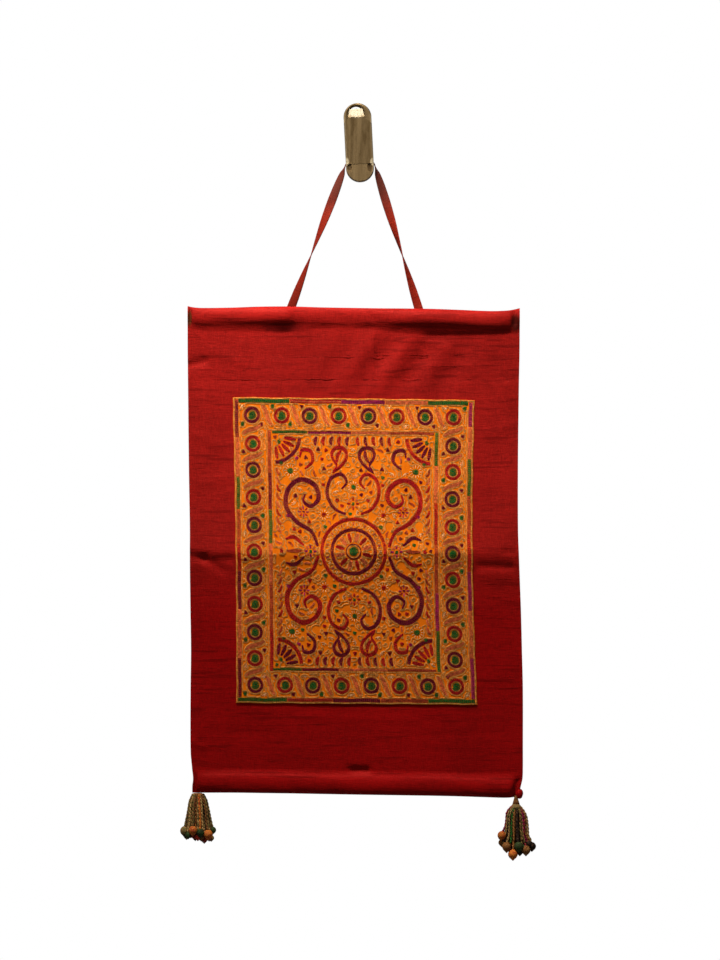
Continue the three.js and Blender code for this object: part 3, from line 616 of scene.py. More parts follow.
tape_silk = red_silk_finish(
    "tape_silk", True, (0.15, 0.0100, 0.0048), (0.28, 0.0200, 0.0088), tape_painted_shade)
red_tape = mesh_piece("red_tape", tape_points.reshape(-1, 3) * mm, tape_faces, [tape_silk])
only(red_tape)
bpy.ops.object.mode_set(mode="EDIT")
bpy.ops.mesh.select_all(action="DESELECT")
bpy.ops.mesh.select_non_manifold()
bpy.ops.mesh.fill()
bpy.ops.mesh.select_all(action="SELECT")
bpy.ops.mesh.normals_make_consistent(inside=False)
done()
tape_map = red_tape.data.uv_layers.new(name="along_tape")
corners = np.zeros(len(red_tape.data.loops), np.int32)
red_tape.data.loops.foreach_get("vertex_index", corners)
tape_uv = np.stack(
    [tape_section[corners % ring_size, 0] * tape_width / 2 * mm, tape_run[corners // ring_size]], -1)
tape_map.data.foreach_set("uv", tape_uv.astype(np.float32).ravel())
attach(red_tape, "root")
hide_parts("hanging_ribbon")


# The red cloth: one length of slubbed silk, 341 mm wide. Its top and its bottom are turned over a rod and
# sewn down as filled sleeves, pinched at their ends. An old fold runs across it below the middle.
cloth_thick = 2.0
top_forward, bottom_forward = 12.6, 13.9
top_radius, bottom_radius = 9.8, 10.8

# down, left edge, right edge
cloth_sides = np.array([
    (168, -175.6, 165.2), (214, -175.5, 165.0), (255, -175.0, 164.2), (337, -174.0, 163.2),
    (398, -172.9, 163.2), (429, -172.9, 164.2), (480, -172.4, 166.2), (521, -171.9, 167.3),
    (562, -172.4, 168.3), (624, -172.4, 168.4), (642, -171.0, 168.4), (653, -169.9, 168.0),
    (661, -170.7, 166.2), (673, -170.7, 164.0),
])
# share of the width, top, bottom, top seam, bottom seam, how full the top and the bottom sleeve are
cloth_sleeves = np.array([
    (0.000, 168.3, 667.4, 190.0, 642.5, 0.85, 0.30), (0.014, 169.4, 667.6, 191.0, 643.4, 0.80, 0.62),
    (0.040, 170.2, 667.6, 192.0, 644.4, 0.98, 0.95), (0.128, 169.9, 667.6, 193.0, 644.6, 1.00, 1.00),
    (0.215, 168.9, 668.0, 193.6, 644.8, 1.04, 1.00), (0.308, 168.7, 668.4, 193.6, 645.0, 1.00, 1.02),
    (0.400, 169.6, 669.0, 190.6, 645.4, 0.97, 1.00), (0.500, 170.2, 669.6, 190.4, 647.2, 0.98, 0.96),
    (0.580, 170.6, 670.0, 191.4, 646.6, 0.98, 1.00), (0.660, 170.8, 670.4, 195.6, 647.0, 1.02, 1.02),
    (0.740, 171.2, 670.8, 197.2, 647.6, 1.08, 1.00), (0.820, 172.2, 671.4, 196.8, 648.0, 1.05, 1.00),
    (0.910, 173.4, 672.4, 196.0, 648.4, 1.02, 1.00), (0.962, 172.9, 672.8, 195.0, 648.6, 0.95, 0.93),
    (0.986, 171.6, 672.0, 194.5, 648.2, 0.80, 0.55), (1.000, 170.4, 670.6, 194.5, 648.0, 0.80, 0.22),
])
# down, how far the hanging sheet bows forward
cloth_belly = np.array([
    (190, 0.0), (204, 0.5), (225, 1.2), (260, 2.5), (300, 4.1), (340, 6.0), (380, 8.3), (408, 10.6),
    (421, 12.0), (426, 11.5), (433, 10.6), (445, 9.4), (460, 8.2), (500, 5.9), (560, 3.0), (610, 1.2),
    (648, 0.0),
])
# from across, from down, to across, to down, rise, half width
cloth_creases = (
    (-173, 424.5, -158, 427.0, -2.2, 4.5), (-158, 427.0, -140, 438.5, -1.6, 4.5),
    (-146, 428.0, -131, 427.5, -1.2, 4.0), (149, 420.5, 158, 420.5, -1.2, 3.5),
    (123, 435.5, 156, 435.5, -2.0, 4.0), (-176, 230.0, -158, 224.5, -2.2, 3.6),
)
# smaller ones, pressed in by use
fine_creases = (
    (-176, 231.5, -162, 225.5, 0.7, 2.2), (-100, 218.0, -40, 219.5, -0.25, 2.2),
    (40, 231.0, 118, 229.0, 0.35, 2.4), (-170, 244.5, 160, 243.0, -0.3, 2.0),
    (-171, 616.0, -158, 620.0, 0.8, 2.2), (-168, 560.0, -163, 610.0, 0.5, 3.0),
    (150, 250.0, 156, 400.0, 0.5, 5.0), (-160, 260.0, -156, 380.0, 0.4, 6.0),
    (118, 436.0, 160, 433.0, 0.5, 2.5), (-60, 590.0, 60, 593.0, 0.3, 3.5),
    (60, 610.0, 150, 606.0, -0.3, 3.0), (-150, 604.0, -80, 607.0, -0.3, 3.0),
    (-80, 222.0, -82, 256.0, 0.7, 1.5), (-38, 222.0, -40, 250.0, 0.7, 1.5),
    (-24, 244.0, -27, 261.0, 0.6, 1.6), (-52, 240.0, -50, 262.0, -0.5, 1.8),
    (-11, 214.0, -9, 260.0, -0.6, 2.4), (16, 196.0, 10, 262.0, 0.7, 2.6),
    (42, 214.0, 45, 262.0, 0.5, 2.0), (72, 206.0, 76, 262.0, 0.7, 2.8),
    (100, 212.0, 96, 258.0, -0.5, 2.0), (-120, 206.0, -124, 258.0, 0.6, 3.0),
    (-150, 214.0, -118, 228.0, 0.5, 5.0), (60, 200.0, 96, 214.0, 0.5, 5.0),
    (-168, 300.0, -140, 312.0, 0.5, 5.0), (-160, 350.0, -136, 344.0, 0.5, 5.0),
    (132, 300.0, 160, 290.0, 0.5, 5.0), (-8, 643.6, 9, 643.6, -2.6, 2.4),
)


def crease_rise(across, down, creases):
    total = np.zeros(np.broadcast(across, down).shape)
    for from_across, from_down, to_across, to_down, rise, half in creases:
        run_across, run_down = to_across - from_across, to_down - from_down
        share = ((across - from_across) * run_across + (down - from_down) * run_down) / (
            run_across**2 + run_down**2)
        near = np.clip(share, 0, 1)
        away = np.hypot(across - from_across - near * run_across, down - from_down - near * run_down)
        total = total + rise * np.exp(-((away / half) ** 2))
    return total


top_seam_down, top_sleeve_foot, bottom_seam_down, sleeve_length = 190, 196, 648, 340


def sheet_forward(across, down):
    seam_share = np.clip((down - top_seam_down) / (bottom_seam_down - top_seam_down), 0, 1)
    below_sleeve = np.maximum(down - top_sleeve_foot, 0)
    seam_line = top_forward + (bottom_forward - top_forward) * seam_share
    fading = 0.15 + 0.85 * np.exp(-below_sleeve / 70)
    ripple = 0.8 * fading * np.sin(2 * math.pi * across / 96) * seam_share**0.2
    wander = 0.45 * np.sin(across / 13.0 + 1.7 * np.sin(down / 61)) * np.sin(down / 47 + across / 90)
    gather = np.exp(-below_sleeve / 12) * 0.35 * np.sin(across / 2.3 + 2.1 * np.sin(across / 19))
    bow = along(cloth_belly, 1, down)
    slant = 0.15 * (across + 0.56 * (down - top_sleeve_foot)) - 0.55
    drape = 1.8 * np.sin(slant) * np.exp(-(((down - 226) / 26) ** 2) - ((across - 40) / 62) ** 2)
    return (
        seam_line + bow + ripple + wander + drape + gather * seam_share**0.3
        + crease_rise(across, down, cloth_creases) + crease_rise(across, down, fine_creases))


def across_at(share, down):
    left, right = along(cloth_sides, 1, down), along(cloth_sides, 2, down)
    return left + (right - left) * share


cloth_shares = np.interp(
    np.linspace(0, 1, 151), [0, 0.06, 0.12, 0.88, 0.94, 1], [0, 0.012, 0.04, 0.96, 0.988, 1])
shares = cloth_shares[None, :]
roll_steps = np.linspace(0, 1, 20)[:, None]


def sleeve_wrinkles(share, angle, seed):
    across = share * sleeve_length
    fold = np.sin(across / 8.5 + 2.2 * np.sin(across / 31 + seed) + angle / 25)
    long_fold = np.sin(across / 40 + seed) * np.sin(np.radians(angle) * 2 + across / 60)
    tuck = np.exp(-(((across - 190 + angle * 0.09) / 2.2) ** 2)) * np.exp(-(((angle + 5) / 40) ** 2))
    left_pinch = np.exp(-(((across - 2.8) / 1.3) ** 2))
    right_pinch = np.exp(-((((1 - share) * sleeve_length - 5.2) / 2.8) ** 2))
    return (
        0.22 * fold * np.exp(-(((angle + 45) / 40) ** 2)) + 0.3 * long_fold - 0.8 * tuck * (seed < 1)
        - 1.8 * left_pinch - 2.4 * right_pinch)


def roll(forward, middle_down, radius, full, from_angle, to_angle, seed):
    angle = from_angle + (to_angle - from_angle) * roll_steps
    down = middle_down - radius * np.sin(np.radians(angle))
    out = radius * np.maximum(np.cos(np.radians(angle)), 0)
    open_end = np.sin(math.pi * roll_steps) ** 0.5
    relief = sleeve_wrinkles(shares, angle, seed) * open_end * np.clip(out / 3, 0, 1)
    return down, forward + out * full + relief, forward - out * np.minimum(full, 1)


# share of the width, how far the top sleeve stands out there against its full round
top_bulge = np.array([
    (0.0, 0.42), (0.04, 0.5), (0.14, 0.52), (0.2, 0.56), (0.25, 0.7), (0.3, 0.8), (0.325, 0.5),
    (0.37, 0.42), (0.48, 0.36), (0.58, 0.44), (0.63, 0.6), (0.68, 0.8), (0.78, 0.8), (0.86, 0.76),
    (0.95, 0.72), (1.0, 0.55),
])
at = [along(cloth_sleeves, column, cloth_shares)[None, :] for column in range(7)]
at[5] = at[5] * along(top_bulge, 1, cloth_shares)[None, :]
top_rows = roll(top_forward, at[1] + top_radius, top_radius, at[5], 90, -50, 0.4)
bottom_rows = roll(bottom_forward, at[2] - bottom_radius, bottom_radius, at[6] * 0.5, 50, -90, 2.6)
sheet_down = at[3] + (at[4] - at[3]) * np.linspace(0, 1, 176)[:, None]
sheet_middle = sheet_forward(across_at(shares, sheet_down), sheet_down)
down = np.concatenate([top_rows[0], sheet_down, bottom_rows[0]])
front = np.concatenate([top_rows[1], sheet_middle + cloth_thick / 2, bottom_rows[1]])
back = np.concatenate([top_rows[2], sheet_middle - cloth_thick / 2, bottom_rows[2]])
across = across_at(shares, down)


def cloth_skin(across, front, back, down):
    rows, columns = down.shape
    front_points = np.stack([across, -front, -down], -1).reshape(-1, 3)
    back_points = np.stack([across, -back, -down], -1).reshape(-1, 3)
    index = np.arange(rows * columns).reshape(rows, columns)
    behind = index + rows * columns

    def quads(a, b, c, d):
        return np.stack([a.ravel(), b.ravel(), c.ravel(), d.ravel()], -1)

    faces = [
        quads(index[:-1, :-1], index[1:, :-1], index[1:, 1:], index[:-1, 1:]),
        quads(behind[:-1, :-1], behind[:-1, 1:], behind[1:, 1:], behind[1:, :-1]),
        quads(index[:-1, 0], behind[:-1, 0], behind[1:, 0], index[1:, 0]),
        quads(index[:-1, -1], index[1:, -1], behind[1:, -1], behind[:-1, -1]),
        quads(index[0, :-1], index[0, 1:], behind[0, 1:], behind[0, :-1]),
        quads(index[-1, :-1], behind[-1, :-1], behind[-1, 1:], index[-1, 1:]),
    ]
    return np.concatenate([front_points, back_points]) * mm, np.concatenate(faces)


def close_up(piece):
    only(piece)
    bpy.ops.object.mode_set(mode="EDIT")
    bpy.ops.mesh.select_all(action="SELECT")
    bpy.ops.mesh.remove_doubles(threshold=0.00001)
    bpy.ops.mesh.normals_make_consistent(inside=False)
    done()


# Painted shade: below the fold the silk is painted redder and darker, where less light falls. Painted shade
# also lies over its upper middle and under the left of the top sleeve, and in both open ends of that
# sleeve.
def cloth_painted_shade(tree, source, run, paint):
    # painted shade: deeper, redder silk below the fold
    below_fold_shade = between(tree, run.outputs["Z"], -0.50, -0.40, 1, 0)
    paint = mixed(tree, below_fold_shade, paint, mixed(tree, 1.0, paint, (1.0, 0.31, 0.5), "MULTIPLY"))
    # painted shade over the upper middle
    shady = spot_on(tree, source, (30 * mm, -15 * mm, -226 * mm), (210 * mm, 90 * mm, 62 * mm))
    shady = calc(tree, "MULTIPLY", shady, 0.5)
    paint = mixed(tree, shady, paint, mixed(tree, 1.0, paint, (0.66, 0.62, 0.64), "MULTIPLY"))
    # painted shade under the left of the top sleeve and in its two open ends
    # across, down, half width, half height, strength, paint
    dark_spots = (
        (-80, 190.5, 26, 6.5, 0.5, (0.05, 0.002, 0.003)),
        (-173.4, 181, 3.0, 11, 0.95, (0.07, 0.018, 0.005)),
        (160.8, 186, 6.5, 12, 0.88, (0.03, 0.003, 0.002)))
    for over, down, half_width, half_height, strength, dark in dark_spots:
        spot = spot_on(
            tree, source, (over * mm, -20 * mm, -down * mm), (half_width * mm, 40 * mm, half_height * mm))
        paint = mixed(tree, calc(tree, "MULTIPLY", spot, strength), paint, dark)
    return paint


red_silk = red_silk_finish(
    "red_silk", False, (0.18, 0.0042, 0.0034), (0.33, 0.0088, 0.0066), cloth_painted_shade)
points, faces = cloth_skin(across, front, back, down)
red_cloth = mesh_piece("red_cloth", points, faces, [red_silk])
close_up(red_cloth)
only(red_cloth)
bpy.ops.object.shade_smooth_by_angle(angle=math.radians(70))
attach(red_cloth, "root")
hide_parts("ground_cloth")

# The lump of cloth at the lower right corner, where the sleeve's end is gathered over the tassel's cord
bpy.ops.object.select_all(action="DESELECT")
bpy.ops.mesh.primitive_ico_sphere_add(subdivisions=4, radius=1, location=(0, 0, 0))
corner_knot = settle("corner_knot")
knot_points = np.array([point.co for point in corner_knot.data.vertices])
swell = 1 + 0.07 * np.sin(6 * np.arctan2(knot_points[:, 1], knot_points[:, 0]) + 3 * knot_points[:, 2])
knot_points = knot_points * swell[:, None] * (3.6, 3.4, 5.0) + (164.9, -13.9, -668.6)
corner_knot.data.vertices.foreach_set("co", (knot_points * mm).astype(np.float32).ravel())
corner_knot.data.materials.append(red_silk)
only(corner_knot)
bpy.ops.object.shade_smooth()
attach(corner_knot, "root")

# Slubs: thicker places of the cross threads, each a thin spindle that lies on the cloth
chance = np.random.default_rng(7)
# across, down, length, thickness of those that show most
slub_places = [
    (60, 218.5, 150, 0.55), (-20, 221.0, 190, 0.45), (85, 230.5, 62, 0.7), (-40, 243.6, 250, 0.5),
    (-96, 251.0, 28, 0.75), (113, 243.8, 7, 1.1), (-140, 236.0, 30, 0.5), (20, 612.0, 120, 0.4),
    (-90, 598.0, 110, 0.4), (110, 622.0, 80, 0.45), (-155, 330.0, 30, 0.5), (145, 372.0, 30, 0.5),
    (150, 448.0, 36, 0.55), (-150, 492.0, 38, 0.5), (-147, 540.0, 40, 0.4), (146, 560.0, 42, 0.45),
]
while len(slub_places) < 110:
    place = (
        chance.uniform(-168, 160), chance.uniform(198, 640),
        chance.uniform(8, 60), chance.uniform(0.22, 0.42))
    on_patch = -130 < place[0] < 124 and 262 < place[1] < 578
    if not on_patch:
        slub_places.append(place)
slub_rings = 13
slub_points, slub_faces = [], []
for slub_across, slub_down, length, thickness in slub_places:
    left, right = across_at(0.006, slub_down), across_at(0.994, slub_down)
    run = np.clip(slub_across + np.linspace(-0.5, 0.5, slub_rings) * length, left, right)
    if slub_down > 258 and slub_down < 580:
        run = np.clip(run, *((left, -131) if slub_across < 0 else (125, right)))
    height = slub_down + 0.35 * np.sin(run / 21)
    swelling = np.sin(np.linspace(0, math.pi, slub_rings)) ** 0.7 * thickness * 0.7 + 0.02
    face = sheet_forward(run, height) + cloth_thick / 2
    start = len(slub_points) * 4
    for k in range(slub_rings):
        t = swelling[k]
        under, over = -face[k] + 0.25, -face[k] - t * 0.42
        slub_points.append([
            (run[k], under, -height[k] + t / 2), (run[k], over, -height[k] + t / 5),
            (run[k], over, -height[k] - t / 5), (run[k], under, -height[k] - t / 2)])
    for k in range(slub_rings - 1):
        a = start + 4 * k
        slub_faces += [(a + j, a + (j + 1) % 4, a + 4 + (j + 1) % 4, a + 4 + j) for j in range(4)]
    for end, order in ((start, (3, 2, 1, 0)), (start + 4 * (slub_rings - 1), (0, 1, 2, 3))):
        slub_faces.append(tuple(end + j for j in order))
slub_threads = mesh_piece("slub_threads", np.array(slub_points).reshape(-1, 3) * mm, slub_faces, [red_silk])
only(slub_threads)
bpy.ops.object.mode_set(mode="EDIT")
bpy.ops.mesh.select_all(action="SELECT")
bpy.ops.mesh.normals_make_consistent(inside=False)
done()
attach(slub_threads, "root")


# The orange cloth: a plain-woven rectangle, 248 by 313 mm, that carries the embroidery. It lies flat on
# the red silk and is caught down along its edges by the outermost row of chain stitch.
patch_width, patch_length = 248.0, 312.5
patch_corners = {
    "top_left": (-129.3, 261.7), "top_right": (118.7, 264.8),
    "bottom_left": (-125.6, 575.5), "bottom_right": (121.6, 577.4),
}
patch_lift, patch_thick = 0.25, 0.6


def patch_place(u, v):
    s, t = u / patch_width, v / patch_length
    (la, ld), (ra, rd) = patch_corners["top_left"], patch_corners["top_right"]
    (ba, bd), (ca, cd) = patch_corners["bottom_left"], patch_corners["bottom_right"]
    left_wave = 0.25 * np.sin(2 * math.pi * v / 41 + 0.4) * (1 - s)
    right_wave = 0.25 * np.sin(2 * math.pi * v / 41 + 2.1) * s
    top_wave = 0.25 * np.sin(2 * math.pi * u / 41 + 1.3) * (1 - t)
    bottom_wave = 0.25 * np.sin(2 * math.pi * u / 41 + 3.2) * t
    waist = (1.5 * (1 - s) - 3.5 * s) * np.sin(math.pi * t)
    across = (la * (1 - s) + ra * s) * (1 - t) + (ba * (1 - s) + ca * s) * t
    down = (ld * (1 - s) + rd * s) * (1 - t) + (bd * (1 - s) + cd * s) * t
    return across + left_wave + right_wave + waist, down + top_wave + bottom_wave


def patch_front(across, down):
    return sheet_forward(across, down) + cloth_thick / 2 + patch_lift + patch_thick


orange_cotton, tree, shader = finish_of("orange_cotton")
place = tree.nodes.new("ShaderNodeTexCoord").outputs["Object"]
clouds = cloudy(tree, place, (22, 22, 22), 3.0, 0.6)
grain = cloudy(tree, place, (900, 900, 900), 2.0, 0.6)
puckers = cloudy(tree, place, (160, 160, 160), 2.0, 0.5)
split = tree.nodes.new("ShaderNodeSeparateXYZ")
tree.links.new(place, split.inputs[0])
warp_wave = calc(tree, "SINE", calc(tree, "MULTIPLY", split.outputs["X"], 2 * math.pi * 900))
weft_wave = calc(tree, "SINE", calc(tree, "MULTIPLY", split.outputs["Z"], 2 * math.pi * 900))
weave = calc(tree, "MULTIPLY", warp_wave, weft_wave)
tone = calc(tree, "ADD", calc(tree, "MULTIPLY", clouds, 0.6), calc(tree, "MULTIPLY", grain, 0.4))
ground = mixed(tree, between(tree, tone, 0.35, 0.65), (0.66, 0.125, 0.001), (0.80, 0.175, 0.002))
feed(tree, shader.inputs["Base Color"], ground)
height = calc(tree, "ADD", calc(tree, "MULTIPLY", puckers, 0.9), calc(tree, "MULTIPLY", grain, 0.2))
height = calc(tree, "ADD", height, calc(tree, "MULTIPLY", weave, 0.08))
feed(tree, shader.inputs["Normal"], raised(tree, height, 0.0006, 0.8))
shader.inputs["Roughness"].default_value = 0.8
shader.inputs["Specular IOR Level"].default_value = 0.06

patch_u = np.linspace(0, patch_width, 105)[None, :] + np.zeros((131, 1))
patch_v = np.linspace(0, patch_length, 131)[:, None] + np.zeros((1, 105))
across, down = patch_place(patch_u, patch_v)
front = patch_front(across, down)
edge = np.minimum(np.minimum(patch_u, patch_width - patch_u), np.minimum(patch_v, patch_length - patch_v))
front = front - 0.2 * np.exp(-edge / 0.9)
points, faces = cloth_skin(across, front, front - patch_thick + 0.2 * np.exp(-edge / 0.9), down)
orange_cloth = mesh_piece("orange_cloth", points, faces, [orange_cotton])
close_up(orange_cloth)
only(orange_cloth)
bpy.ops.object.shade_smooth_by_angle(angle=math.radians(60))
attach(orange_cloth, "root")
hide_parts("embroidered_panel")


# The stitches: chain stitch in eight colours of cotton, worked in rows over the whole orange cloth. Each
# link is a small loop of thread, its tail caught under the link before it. Rows are kept as places on
# the cloth, in millimetres across and down from its upper left corner.
thread_paints = {
    "tan": (0.66, 0.29, 0.058), "green": (0.004, 0.125, 0.016), "maroon": (0.17, 0.003, 0.022),
    "red": (0.44, 0.006, 0.010), "magenta": (0.34, 0.010, 0.085), "salmon": (0.66, 0.14, 0.046),
    "brown": (0.45, 0.060, 0.020), "cream": (0.90, 0.55, 0.26),
}
threads = list(thread_paints)
stitches = []
row_gap = 1.15
hand = np.random.default_rng(21)


def sew(thread, points, pitch=2.1, width=1.46, closed=False):
    points = np.asarray(points, float)
    if closed:
        points = np.concatenate([points, points[:1]])
    run = np.concatenate([[0], np.cumsum(np.hypot(*np.diff(points, axis=0).T))])
    count = max(int(round(run[-1] / pitch)), 1)
    step = run[-1] / count
    places = (np.arange(count) + 0.5) * step
    ahead, behind = (
        np.stack([np.interp(places + away, run, points[:, axis]) for axis in (0, 1)])
        for away in (step / 2, -step / 2))
    middle = (ahead + behind) / 2 + hand.normal(0, 0.07, (2, count))
    direction = np.arctan2(ahead[1] - behind[1], ahead[0] - behind[0]) + hand.normal(0, 0.05, count)
    length, wide = np.full(count, step * 1.22), width * hand.uniform(0.9, 1.1, count)
    stitches.append(np.stack([*middle, direction, length, wide, np.full(count, threads.index(thread))], -1))


def curve(points, each=10):
    points = np.asarray(points, float)
    before = np.concatenate([2 * points[:1] - points[1:2], points[:-2]])
    after = np.concatenate([points[2:], 2 * points[-1:] - points[-2:-1]])
    t = np.linspace(0, 1, each, endpoint=False)[None, :, None]
    first, last = points[:-1, None], points[1:, None]
    lead, tail = (last - before[:, None]) / 2, (after[:, None] - first) / 2
    path = (
        first * (2 * t**3 - 3 * t**2 + 1) + lead * (t**3 - 2 * t**2 + t)
        + last * (3 * t**2 - 2 * t**3) + tail * (t**3 - t**2))
    return np.concatenate([path.reshape(-1, 2), points[-1:]])


def circle(middle, radius, first=0.0, last=360.0, count=40):
    angle = np.radians(np.linspace(first, last, count))
    return np.stack([middle[0] + radius * np.cos(angle), middle[1] + radius * np.sin(angle)], -1)


def sew_ring(thread, middle, radius, width=1.25):
    sew(thread, circle(middle, radius), width=width)


def sew_disc(thread, middle, radius, gap=row_gap):
    turns = (radius - 0.55) / gap
    angle = np.linspace(0, turns * 2 * math.pi, max(int(turns * 24), 8))
    reach = 0.15 + gap * angle / (2 * math.pi)
    sew(thread, np.stack([middle[0] + reach * np.cos(angle), middle[1] + reach * np.sin(angle)], -1))


def sew_band(thread, points, lines, thin_start=1.0, thin_end=1.0):
    path = curve(points)
    along_path = np.linspace(0, 1, len(path))
    ahead = np.gradient(path, axis=0)
    beside = np.stack([-ahead[:, 1], ahead[:, 0]], -1) / np.linalg.norm(ahead, axis=1)[:, None]
    fullness = np.interp(along_path, [0, 0.3, 0.7, 1], [thin_start, 1, 1, thin_end])[:, None]
    for line_number in range(lines):
        away = (line_number - (lines - 1) / 2) * row_gap
        sew(thread, path + beside * away * fullness)


def sew_leaf(thread, middle, angle, length, lines=3, bend=0.12):
    turn = math.radians(angle)
    ahead = np.array([math.cos(turn), math.sin(turn)]) * length
    beside = np.array([-math.sin(turn), math.cos(turn)]) * length
    middle = np.asarray(middle, float)
    spine = [middle - ahead / 2, middle + beside * bend, middle + ahead / 2]
    sew_band(thread, spine, lines, 0.15, 0.15)


def sew_star(middle, radius, heart="green", rays="cream", count=12):
    sew_disc(heart, middle, radius * 0.55)
    for angle in np.arange(count) * 2 * math.pi / count:
        ray = np.array([math.cos(angle), math.sin(angle)])
        sew(rays, [middle + ray * radius * 0.62, middle + ray * radius], pitch=radius * 0.36, width=0.8)


def sew_flower(middle, radius, petals, heart, petal_thread, other_thread):
    sew_disc(heart, middle, radius * 0.34)
    for number in range(petals):
        angle = 360 * number / petals
        reach = radius * 0.72
        ray = np.array([math.cos(math.radians(angle)), math.sin(math.radians(angle))])
        sew_leaf((petal_thread, other_thread)[number % 2], middle + ray * reach, angle, radius * 0.5, 2, 0)


def sew_triangle(thread, middle, radius, angle):
    for share in (1.0, 0.45):
        sew(thread, circle(middle, radius * share, angle, angle + 360, 4), pitch=1.7, width=1.1)


def sew_sprig(thread, middle, radius, angle):
    facing = np.array([math.cos(math.radians(angle)), math.sin(math.radians(angle))])
    foot = np.asarray(middle, float) - facing
    for fan in (-60, -20, 20, 60):
        turn = math.radians(angle + fan)
        ray = np.array([math.cos(turn), math.sin(turn)]) * radius
        sew(thread, [foot + ray * 0.25, foot + ray * 1.4], pitch=radius * 1.15, width=0.75)


# The border: bars of colour along both its edges, and between them rings joined by slanting leaves
edge_in, outer_bar, inner_bar = 1.0, 3.7, (36.9, 209.8, 35.1, 277.6)
outer_top = (
    (5.4, "green"), (58, "red salmon"), (111, "magenta"), (156, "salmon"), (200, "green"), (241.5, ""))
outer_bottom = (
    (1.8, "green"), (52.5, "brown red"), (99.5, "maroon"), (148.5, "brown"), (197.5, "green"), (246, ""))
outer_left = (
    (2.4, "maroon"), (41, "salmon"), (81, "green"), (114.5, "brown"), (149.5, "red"), (177, "maroon"),
    (216.5, "salmon"), (266.5, "maroon"), (306.5, ""))
outer_right = (
    (2.4, "magenta"), (27.5, "salmon"), (60.5, "green"), (98.5, "brown"), (137, "red"), (175.5, "magenta"),
    (216, "salmon"), (264.5, "magenta"), (306.5, ""))
inner_top = ((39.6, "green"), (76.5, "maroon magenta"), (121.5, "salmon"), (161, "brown"), (207.1, ""))
inner_bottom = ((37.6, "green"), (68, "maroon"), (106, "salmon"), (156, "brown"), (207.1, ""))
inner_left = (
    (33.6, "brown"), (76.5, "maroon"), (114, "green"), (149, "salmon"), (190, "brown"), (236, "red"),
    (279.2, ""))
inner_right = (
    (33.6, "green"), (68, "salmon"), (106, "red"), (149, "brown"), (198, "magenta"), (237, "green"),
    (279.2, ""))


def sew_bar(colours, level, level_axis, rows=(-1.15, 0, 1.15)):
    for (first, paints), (last, _) in zip(colours[:-1], colours[1:]):
        for row, away in enumerate(rows):
            thread = paints.split()[row % len(paints.split())]
            ends = [(first + 0.3, level + away), (last - 0.3, level + away)]
            sew(thread, ends if level_axis else [(down, over) for over, down in ends], width=1.45)


sew_bar(outer_top, outer_bar, 1)
sew_bar(outer_bottom, patch_length - outer_bar, 1)
sew_bar(outer_left, outer_bar, 0)
sew_bar(outer_right, patch_width - outer_bar, 0)
sew_bar(inner_top, inner_bar[2], 1, (-0.6, 0.6))
sew_bar(inner_bottom, inner_bar[3], 1, (-0.6, 0.6))
sew_bar(inner_left, inner_bar[0], 0)
sew_bar(inner_right, inner_bar[1], 0)

ring_columns = (19.5, 50.2, 78.9, 108.7, 139.4, 168.6, 197.8, 227.0)
ring_rows = (18.3, 47.7, 74.3, 102.2, 130.6, 157.9, 184.5, 211.2, 239.9, 266.5, 293.8)


def sew_round(middle, number):
    sew_disc("green", middle, 4.5)
    sew_ring("tan", middle, 5.05, 1.0)
    for radius in (5.95, 6.85, 7.75):
        sew_ring(("maroon", "red")[number % 2], middle, radius)


def small_mark(middle, kind, angle):
    if kind == "dot":
        sew_disc("green", middle, 2.7)
    elif kind == "triangle":
        sew_triangle("maroon", middle, 1.9, angle)
    else:
        sew_sprig("cream", middle, 2.2, angle)


# the marks on both sides of each slanting leaf, from the left to the right or from the top down
mark_kinds = {"d": "dot", "t": "triangle", "s": "sprig"}
for row_number, v, upper, lower in (
        (0, ring_rows[0], "dtdtsts", "tdsdtst"), (10, ring_rows[-1], "tstdsdt", "stdsdtd")):
    for column_number, u in enumerate(ring_columns):
        sew_round((u, v), row_number + column_number)
    for number, (left, right) in enumerate(zip(ring_columns[:-1], ring_columns[1:])):
        middle = (left + right) / 2
        wave = [(-4.8, -9.6), (-2.0, -5.4), (0, 0), (2.0, 5.4), (4.8, 9.6)]
        sew_band("salmon", [(middle + over, v + down) for over, down in wave], 3, 0.3, 0.3)
        small_mark((middle + 6, v - 9.4), mark_kinds[upper[number]], 90)
        small_mark((middle - 5.6, v + 9.4), mark_kinds[lower[number]], 70)
for column_number, u, right, left in (
        (0, ring_columns[0], "sstdtdsdts", "dtststdtds"),
        (7, ring_columns[-1], "tstdtdtdsd", "stdtstdsdt")):
    for row_number, v in enumerate(ring_rows[1:-1], 1):
        sew_round((u, v), row_number + column_number)
    for number, (top, bottom) in enumerate(zip(ring_rows[:-1], ring_rows[1:])):
        middle = (top + bottom) / 2
        wave = [(-9.6, 4.6), (-5.6, 1.8), (0, 0), (5.6, -1.8), (9.4, -4.6)]
        sew_band("salmon", [(u + over, middle + down) for over, down in wave], 3, 0.3, 0.3)
        small_mark((u + 9.6, middle + 4.8), mark_kinds[right[number]], 200)
        small_mark((u - 9.6, middle - 5.2), mark_kinds[left[number]], 20)
for u, v, kind in ((9.2, 9.0, "sprig"), (238.6, 9.2, "dot"), (9.4, 303.2, "dot"), (238.4, 302.4, "sprig")):
    small_mark((u, v), kind, 45)

